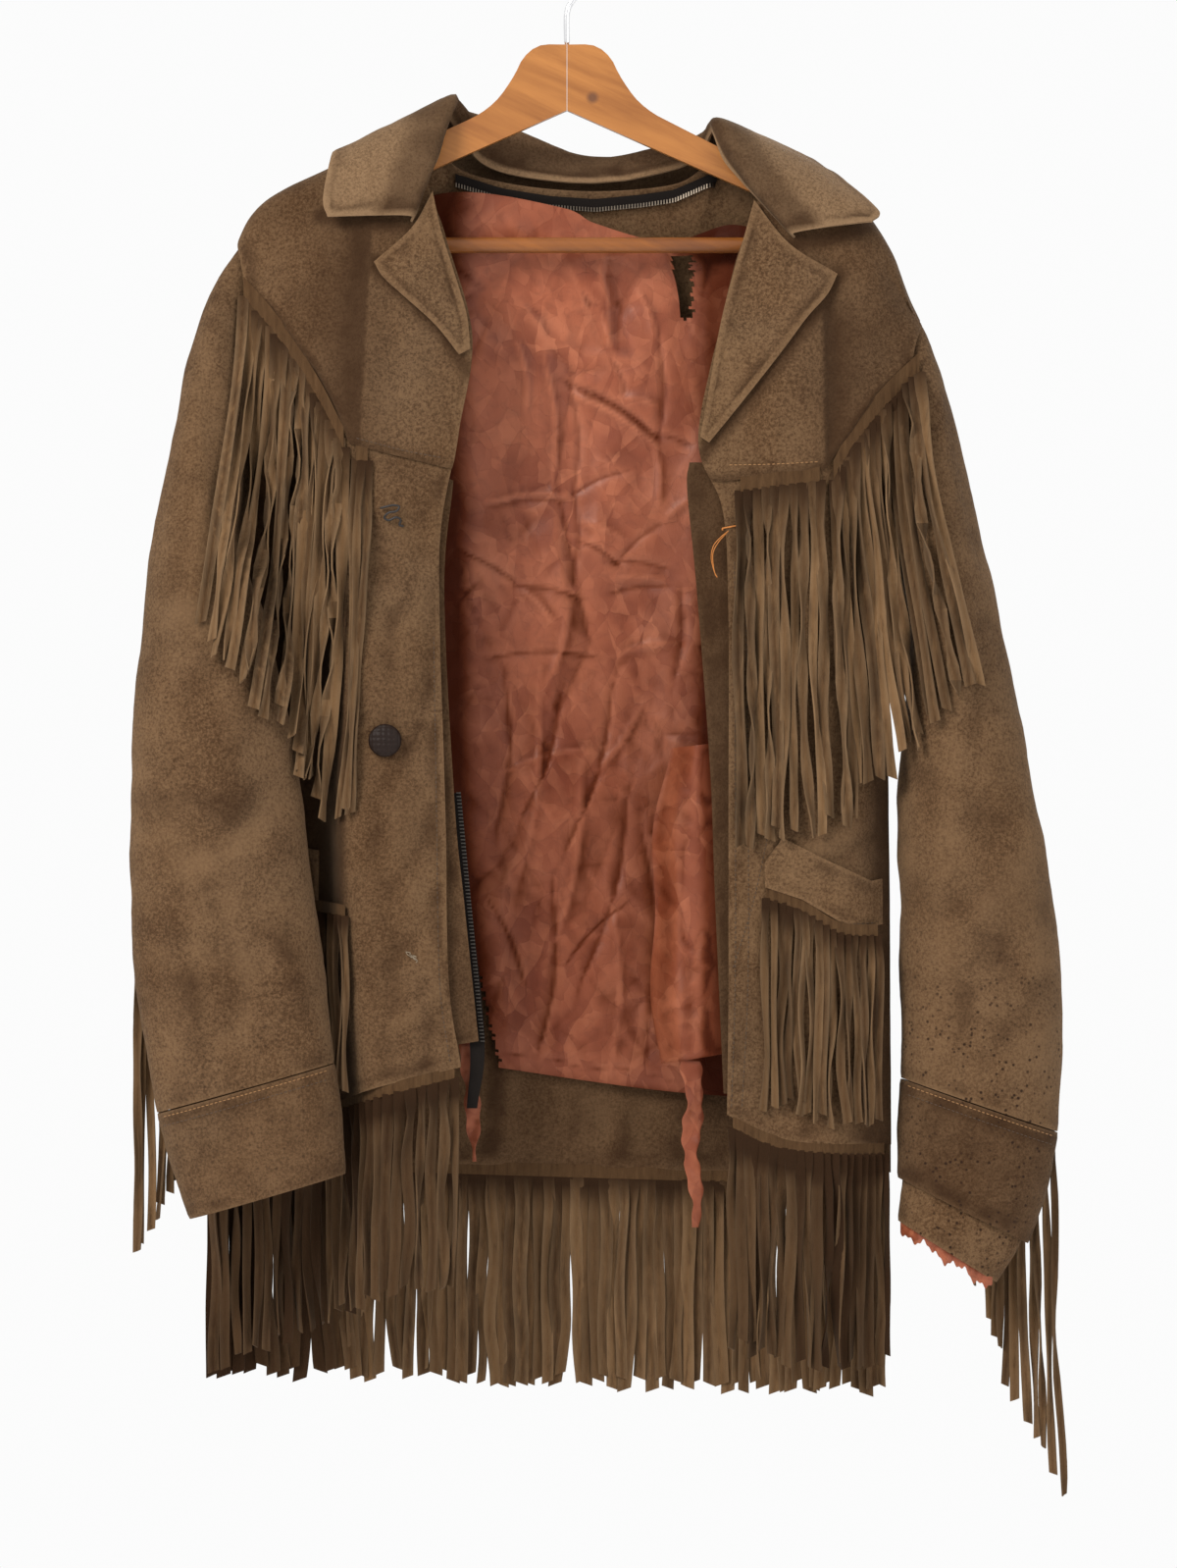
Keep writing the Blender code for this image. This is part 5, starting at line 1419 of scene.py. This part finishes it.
def add_strand(strips, path, angles, half, cup, shade, dark, dirt):
    """The sections of a strand of the half width given, turned by angles and cupped, with a slanted end."""
    start = len(strips.points)
    for level, ((x, y, z), angle) in enumerate(zip(path, angles)):
        t = level / STRAND_LEVELS
        root_share = min(1.0, 6 * t)
        across = (math.cos(angle), math.sin(angle))
        bow = cup * half * root_share
        slant = (0.35 * half if level == STRAND_LEVELS else 0.0) * math.copysign(1, cup)
        # Painted shade, dark at the root under the seam and by the fringe's dark value, with random dirt for
        # each strand.
        grime_and_shade = min(1.0, max(0.0, dark + 0.85 * (1 - root_share) + dirt))
        for u in (-1, 0, 1):
            for v in (-1, 1):
                thin = STRAND_THICK / 2 * v * (1.0 if u == 0 else 0.8) + bow * (1 - abs(u))
                dx = across[0] * half * u - across[1] * thin
                dy = across[1] * half * u + across[0] * thin
                strips.point((x + dx, y + dy, z + slant * u), shade, abs(u) * 0.75, grime_and_shade)
    for level in range(STRAND_LEVELS):
        strips.join(start + 6 * level)
    strips.ends(start, len(strips.points) - 6)


def fringe(name, cut, seed):
    """A comb of cloth: a strip caught in the seam above, and strands of uneven length and twist."""
    draw = random.Random(seed)
    roots = curve(placed(ROOTS[name]), cut.count)
    for p in roots:
        p[1] = cleared_y(p, cut.under, ROOT_CLEARANCE, cut.side, cut.width / 2)
    strips = Strips()
    band(strips, cut, roots)
    clump = 0.0
    for i, root in enumerate(roots):
        if draw.random() < 0.35:
            clump = draw.uniform(-4.0, 4.0)
        layer = (0.0, 1.9, 0.9)[i % 3] + draw.uniform(0, 0.8)
        strand(strips, cut, root, i / (cut.count - 1), clump, draw, layer)
    node = "fringe_" + name
    add_piece(node + "_strands", strips.points, strips.faces, "suede_fringe", [node],
              {"tone": strips.tone, "edge": strips.edge, "grime_and_shade": strips.grime_and_shade})


def fringes():
    for i, (name, cut) in enumerate(FRINGES.items()):
        fringe(name, cut, SEED + i)


def between_rings(start, rings, sides):
    """The faces between rings of points, each of so many sides, from the point start on."""
    found = []
    for a in range(start, start + (rings - 1) * sides, sides):
        for k in range(sides):
            n = (k + 1) % sides
            found.append((a + k, a + n, a + sides + n, a + sides + k))
    return found


def rod(name, path, radius, sides, material, nodes=(), taper=1.0):
    """A round rod along a path; taper is the share of its radius at its ends."""
    path = np.asarray(path, float)
    ahead = np.gradient(path, axis=0)
    ahead /= np.maximum(np.linalg.norm(ahead, axis=1, keepdims=True), 1e-9)
    side = np.cross(ahead[0], (0.31, 0.87, 0.4))
    points = []
    for i, (centre, way) in enumerate(zip(path, ahead)):
        side = side - way * side.dot(way)
        side /= np.linalg.norm(side)
        up = np.cross(way, side)
        thin = radius * (taper if i in (0, len(path) - 1) else 1.0)
        for k in range(sides):
            turn = 2 * math.pi * k / sides
            points.append(centre + (side * math.cos(turn) + up * math.sin(turn)) * thin)
    faces = [tuple(range(sides))[::-1], tuple(range(len(points) - sides, len(points)))]
    add_piece(name, points, faces + between_rings(0, len(path), sides), material, nodes)


CROOK_START = 205
CROOK_SWEEP = 255
CROOK_STEPS = 40


def hanger():
    """Bevelled wood on the arms, and a finer bar and hook."""
    for name in ("hanger_arm_left", "hanger_arm_right"):
        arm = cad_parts[name]
        arm.data.materials.clear()
        arm.data.materials.append(MATERIALS["wood"])
        edge = arm.modifiers.new("edge", "BEVEL")
        edge.width = 1.4 * MM
        edge.segments = 3
        edge.limit_method = "ANGLE"
        edge.angle_limit = math.radians(50)
    # The bar wears the darker wood, as painted shade.
    rod("bar", placed([(-BAR_HALF, BAR_DROP, 0), (BAR_HALF, BAR_DROP, 0)]), BAR_RADIUS, 40, "wood_bar_shaded",
        ["hanger_bar"])
    centre_drop = CROOK_RADIUS - WIRE_RADIUS
    path = []
    for k in range(CROOK_STEPS + 1):
        turn = math.radians(CROOK_START - CROOK_SWEEP * k / CROOK_STEPS)
        path.append((CROOK_RADIUS * math.cos(turn), centre_drop - CROOK_RADIUS * math.sin(turn), 0))
    stem = curve(placed([path[-1], (4, 42, 0), (0, 51, 0), (0, STEM_FOOT, 0)]), 24)
    wire = np.concatenate([placed(path), stem[1:]])
    rod("hook", wire, WIRE_RADIUS, 20, "chrome", ["hanger_hook"], taper=0.7)


BUTTON_AT = (-121.4, 540)
BUTTON_RADIUS = 11.0
BUTTON_HEIGHT = 6.3
BUTTON_STRIP = 3.6
BUTTON_RINGS = 34
BUTTON_SIDES = 72


def button():
    """A domed button covered in woven leather strips, on its shank."""
    x, drop = BUTTON_AT
    seat = surface_y(["front_right"], x, -drop, FRONT)
    points = [(x, seat - BUTTON_HEIGHT, -drop)]
    for i in range(1, BUTTON_RINGS + 1):
        t = i / BUTTON_RINGS
        radius = BUTTON_RADIUS * math.sin(min(t * 1.25, 1.0) * math.pi / 2) if t < 0.8 else BUTTON_RADIUS
        rise = BUTTON_HEIGHT * math.cos(min(t * 1.02, 1.0) * math.pi / 2) ** 0.75
        for k in range(BUTTON_SIDES):
            turn = 2 * math.pi * k / BUTTON_SIDES
            a = radius * math.cos(turn)
            b = radius * math.sin(turn)
            over = (math.floor(a / BUTTON_STRIP + 0.5) + math.floor(b / BUTTON_STRIP + 0.5)) % 2
            along = abs(math.cos(math.pi * (b if over else a) / BUTTON_STRIP))
            aside = abs(math.cos(math.pi * (a if over else b) / BUTTON_STRIP))
            weave = 0.75 * (0.4 + 0.6 * along) * aside**0.35 * (1 - t**6)
            points.append((x + a, seat - rise - weave, -drop + b))
    faces = [(0, 1 + (k + 1) % BUTTON_SIDES, 1 + k) for k in range(BUTTON_SIDES)]
    faces += between_rings(1, BUTTON_RINGS, BUTTON_SIDES)
    faces.append(tuple(range(len(points) - BUTTON_SIDES, len(points))))
    add_piece("button_cover", points, faces, "button_leather", ["button"])


def on_surface(names, line, side, lift, pitch):
    """Points along a line of (x, drop), pitch apart, that lie lift in front of the named pieces."""
    flat = curve(placed([(x, drop, 0) for x, drop in line]), 200)
    reach = np.concatenate([[0], np.cumsum(np.linalg.norm(np.diff(flat, axis=0), axis=1))])
    count = max(2, round(reach[-1] / pitch) + 1)
    found = []
    for w in np.linspace(0, reach[-1], count):
        x = float(np.interp(w, reach, flat[:, 0]))
        z = float(np.interp(w, reach, flat[:, 2]))
        y = surface_y(names, x, z, side)
        if y is not None:
            found.append((x, y + side * lift, z))
    return np.array(found)


# Sections of a stitch, as its place along it and the share of its full radius
STITCH_SECTIONS = ((-0.5, 0.35), (-0.3, 0.9), (0.0, 1.0), (0.3, 0.9), (0.5, 0.35))
STITCH_SIDES = 6
LONGEST_STITCH = 9.0


def stitches(name, runs, material, radius, share=0.68, sink=0.12):
    """Short spindles of thread, one between each pair of points along each run, as one mesh."""
    points = []
    faces = []
    for run in runs:
        for a, b in zip(run, run[1:]):
            way = b - a
            long = np.linalg.norm(way)
            if long < 1e-6 or long > LONGEST_STITCH:
                continue
            way = way / long
            side = np.cross(way, (0, 1, 0))
            side /= max(np.linalg.norm(side), 1e-9)
            up = np.cross(side, way)
            mid = (a + b) / 2
            start = len(points)
            for t, thick in STITCH_SECTIONS:
                centre = mid + way * long * share * t + up * sink * (abs(t) * 2) ** 2
                for k in range(STITCH_SIDES):
                    turn = 2 * math.pi * k / STITCH_SIDES
                    points.append(centre + (side * math.cos(turn) + up * math.sin(turn)) * radius * thick)
            faces += between_rings(start, len(STITCH_SECTIONS), STITCH_SIDES)
            faces.append(tuple(range(start, start + STITCH_SIDES))[::-1])
            faces.append(tuple(range(len(points) - STITCH_SIDES, len(points))))
    add_piece(name, points, faces, material)


Seam = namedtuple("Seam", "thread piece line side lift pitch")

SEAMS = [
    Seam("tan", "yoke_left", [(108, 356), (140, 355.5), (168, 354)], FRONT, 0.25, 3.1),
    Seam("dark", "yoke_right", [(-141, 338), (-110, 346), (-84, 351)], FRONT, 0.2, 3.0),
    Seam("dark", "pocket_flap_left", [(134, 641), (160, 653), (184, 662), (206, 662)], FRONT, 0.2, 3.0),
    Seam("dark", "front_left", [(134, 605), (124, 650), (111, 692)], FRONT, 0.2, 3.0),
    Seam("dark", "front_left", [(119, 420), (121, 560), (121, 700), (117, 785)], FRONT, 0.2, 3.2),
    Seam("dark", "front_left", [(112, 420), (112.5, 560), (112.5, 700), (110, 785)], FRONT, 0.2, 3.2),
    Seam("dark", "front_right", [(-89, 470), (-87, 590), (-85, 700), (-78, 755)], FRONT, 0.2, 3.2),
    Seam("dark", "back_yoke", [(-200, 246), (-150, 263), (-80, 300), (5, 318), (90, 302), (160, 284),
                               (205, 278)], BACK, 0.2, 3.0),
    Seam("dark", "back", [(-14, 345), (-12, 500), (-12, 650), (-14, 815)], BACK, 0.2, 3.2),
]


def cuff_seams():
    """Two rows of stitches round the top of each cuff, from its outer edge to its inner one."""
    found = []
    for name, ring in (("cuff_right", CUFF_RIGHT[0]), ("cuff_left", CUFF_LEFT[0])):
        for inset, thread in ((3, "tan"), (9, "dark")):
            line = [(ring.outer_x + (ring.inner_x - ring.outer_x) * t,
                     ring.outer_drop + (ring.inner_drop - ring.outer_drop) * t + inset)
                    for t in (0.03, 0.35, 0.65, 0.97)]
            found.append(Seam(thread, name, line, FRONT, 0.2, 3.0))
            found.append(Seam("dark", name, line, BACK, 0.2, 3.0))
    return found


def seams():
    """Topstitching, in tan and dark thread."""
    for thread, radius in (("tan", 0.33), ("dark", 0.3)):
        runs = [on_surface([seam.piece], seam.line, seam.side, seam.lift, seam.pitch)
                for seam in SEAMS + cuff_seams() if seam.thread == thread]
        stitches("stitches_" + thread, [run for run in runs if len(run) > 1], "thread_" + thread, radius)


# Sections of a zip's tooth, as the place across the tape and the half width
TOOTH_SECTIONS = ((-1.5, 0.5), (0.4, 0.5), (1.5, 0.75))


def teeth(name, run, across, material):
    """Metal zip teeth, set across a tape at each point of a run."""
    points = []
    faces = []
    for i, p in enumerate(run):
        ahead = run[min(i + 1, len(run) - 1)] - run[max(i - 1, 0)]
        ahead = ahead / max(np.linalg.norm(ahead), 1e-9)
        up = np.cross(across, ahead)
        start = len(points)
        for sx, sw in TOOTH_SECTIONS:
            for sy, sz in ((-1, -1), (1, -1), (1, 1), (-1, 1)):
                points.append(p + np.asarray(across) * sx + ahead * sy * sw * 0.8 + up * sz * 0.6)
        faces += between_rings(start, 3, 4)
        faces += [(start + 3, start + 2, start + 1, start), tuple(start + 8 + k for k in range(4))]
    add_piece(name, points, faces, material)


def zips(grids):
    """The teeth of the neck zip and of the loose front zip."""
    row = curve(grids["zip_tape_neck"][-1], 92) + np.array([0, -2.4, 0.6])
    teeth("zip_teeth_neck", row, (0.0, -0.25, -0.97), "zip_metal")
    line = curve(placed([(r[1][0] - 1.5, r[1][1], r[1][2] - 0.9) for r in ZIP_TAPE_FRONT_ROWS[:3]]), 70)
    teeth("zip_teeth_front", line, (1.0, 0.0, 0.0), "zip_dull")


# Loose ends, as (x, drop) of where each starts and steps of x, drop and y from there
THREAD_AT = (112, 398)
THREAD_LOOPS = [
    [(-4, 2, 0), (-9, 6, -1), (-14, 12, -2), (-15.5, 20, -2), (-13.5, 29, -1.6), (-11.5, 33, -1)],
    [(-5, 3, 0), (-11, 10, -1.6), (-14.4, 17, -3), (-14, 26, -2), (-12.5, 32, -1)],
]
TUFT_AT = (-103.6, 684)
TUFT_THREADS = 9
WIRE_AT = (-116.8, 390)
WIRE = [(-8, -5, -1), (-4, -6, -2.4), (1, -7, -3), (5, -6, -3.4), (3, -3, -4), (-2, -2, -3.4), (-5, 1, -2.4),
        (-2, 3, -2.6), (3, 1, -3.4), (6, 3, -2.2), (5, 6, -1.4), (8, 7, -1)]


def buttonhole_thread():
    """The buttonhole's orange thread, with the two loops that have come loose from it."""
    x, drop = THREAD_AT
    y = surface_y(["front_left"], x, -drop, FRONT)
    hole = []
    for k in range(15):
        across = 97 + 19 * k / 14
        down = 399.5 - 3.5 * k / 14
        under = surface_y(["front_left"], max(across, 106), -down, FRONT) or y
        hole.append(np.array([max(across, 104), under - 0.5, -down]))
    rod("thread_buttonhole", hole, 0.55, 8, "thread_orange")
    for i, loop in enumerate(THREAD_LOOPS):
        line = [(x + dx, drop + dd, y - 1.2 + dy) for dx, dd, dy in loop]
        rod(f"thread_loop_{i + 1}", curve(placed(line), 30), 0.3, 7, "thread_orange")


def button_tuft():
    """The tuft of pale threads where a button was."""
    draw = random.Random(SEED)
    x, drop = TUFT_AT
    seat = surface_y(["front_right"], x, -drop, FRONT)
    for i in range(TUFT_THREADS):
        turn = draw.uniform(0, 2 * math.pi)
        size = draw.uniform(2.5, 5.5)
        line = [(x + draw.uniform(-1, 1), drop + draw.uniform(-1, 1), seat - 0.3)]
        for k in (0.4, 0.8, 1.2):
            line.append((x + size * k * math.cos(turn + k * draw.uniform(-1.2, 1.2)),
                         drop + size * k * math.sin(turn + k) * 0.8, seat - draw.uniform(0.5, 2.4)))
        rod(f"tuft_{i + 1}", curve(placed(line), 12), 0.28, 6, "thread_pale", taper=0.4)


def wire_remnant():
    """The bent wire that another button hung from."""
    x, drop = WIRE_AT
    seat = surface_y(["front_right", "yoke_right"], x, -drop, FRONT)
    line = [(x + dx, drop + dd, seat + dy - 1) for dx, dd, dy in WIRE]
    rod("wire_remnant", curve(placed(line), 70), 0.75, 8, "wire", taper=0.5)


CAMERA_DISTANCE = 5.86
CAMERA_LENS = 200.0
PICTURE_CENTRE = (0.0145, -0.569)
FLOOR_DROP = 1.35
FLOOR_REACH = 2.2
AIM = (0, 0, -0.5)

Light = namedtuple("Light", "name place size power colour")
LIGHTS = [
    Light("key", (-2.1, -2.5, 1.5), 1.5, 150, (1.0, 0.97, 0.93)),
    Light("fill", (2.4, -2.6, 0.2), 2.2, 34, (0.98, 0.98, 1.0)),
    Light("behind", (0.6, 2.6, 1.2), 2.0, 60, (1.0, 1.0, 1.0)),
]


def camera_and_lights():
    """A long lens level with the jacket, and an area light for each row of the table."""
    scene = bpy.context.scene
    scene.view_settings.view_transform = "Standard"
    camera = bpy.data.objects.new("camera", bpy.data.cameras.new("camera"))
    camera.data.lens = CAMERA_LENS
    camera.data.sensor_width = 36.0
    camera.location = (PICTURE_CENTRE[0], -CAMERA_DISTANCE, PICTURE_CENTRE[1])
    camera.rotation_euler = (math.radians(90), 0, 0)
    camera.data.clip_end = 100
    scene.collection.objects.link(camera)
    scene.camera = camera
    for row in LIGHTS:
        light = bpy.data.objects.new(row.name, bpy.data.lights.new(row.name, "AREA"))
        light.data.size = row.size
        light.data.energy = row.power
        light.data.color = row.colour
        light.location = row.place
        light.rotation_euler = (Vector(AIM) - Vector(row.place)).to_track_quat("-Z", "Y").to_euler()
        scene.collection.objects.link(light)


def sky_and_floor():
    """A pale studio round the part."""
    scene = bpy.context.scene
    world = bpy.data.worlds.new("studio")
    world.use_nodes = True
    world.node_tree.nodes["Background"].inputs["Color"].default_value = (0.97, 0.97, 0.97, 1.0)
    world.node_tree.nodes["Background"].inputs["Strength"].default_value = 1.0
    scene.world = world
    mesh = bpy.data.meshes.new("floor")
    corners = [(FLOOR_REACH * x, FLOOR_REACH * y, 0) for x, y in ((-1, -1), (1, -1), (1, 1), (-1, 1))]
    mesh.from_pydata(corners, [], [(0, 1, 2, 3)])
    floor = bpy.data.objects.new("floor", mesh)
    floor.location = (0, 0, -FLOOR_DROP)
    pale = bpy.data.materials.new("floor")
    pale.use_nodes = True
    pale.node_tree.nodes["Principled BSDF"].inputs["Base Color"].default_value = (0.9, 0.9, 0.9, 1.0)
    pale.node_tree.nodes["Principled BSDF"].inputs["Roughness"].default_value = 0.8
    mesh.materials.append(pale)
    scene.collection.objects.link(floor)


def main():
    materials()
    grids = fronts_and_back()
    yokes(grids)
    sleeves()
    pocket_flaps(grids)
    collar_and_lapels()
    edges()
    neck_tape(grids)
    back_lining()
    lining_flap()
    lining_strip()
    cuff_lining()
    lining_scrap()
    fringes()
    hanger()
    button()
    seams()
    zips(grids)
    buttonhole_thread()
    button_tuft()
    wire_remnant()
    camera_and_lights()
    sky_and_floor()


main()
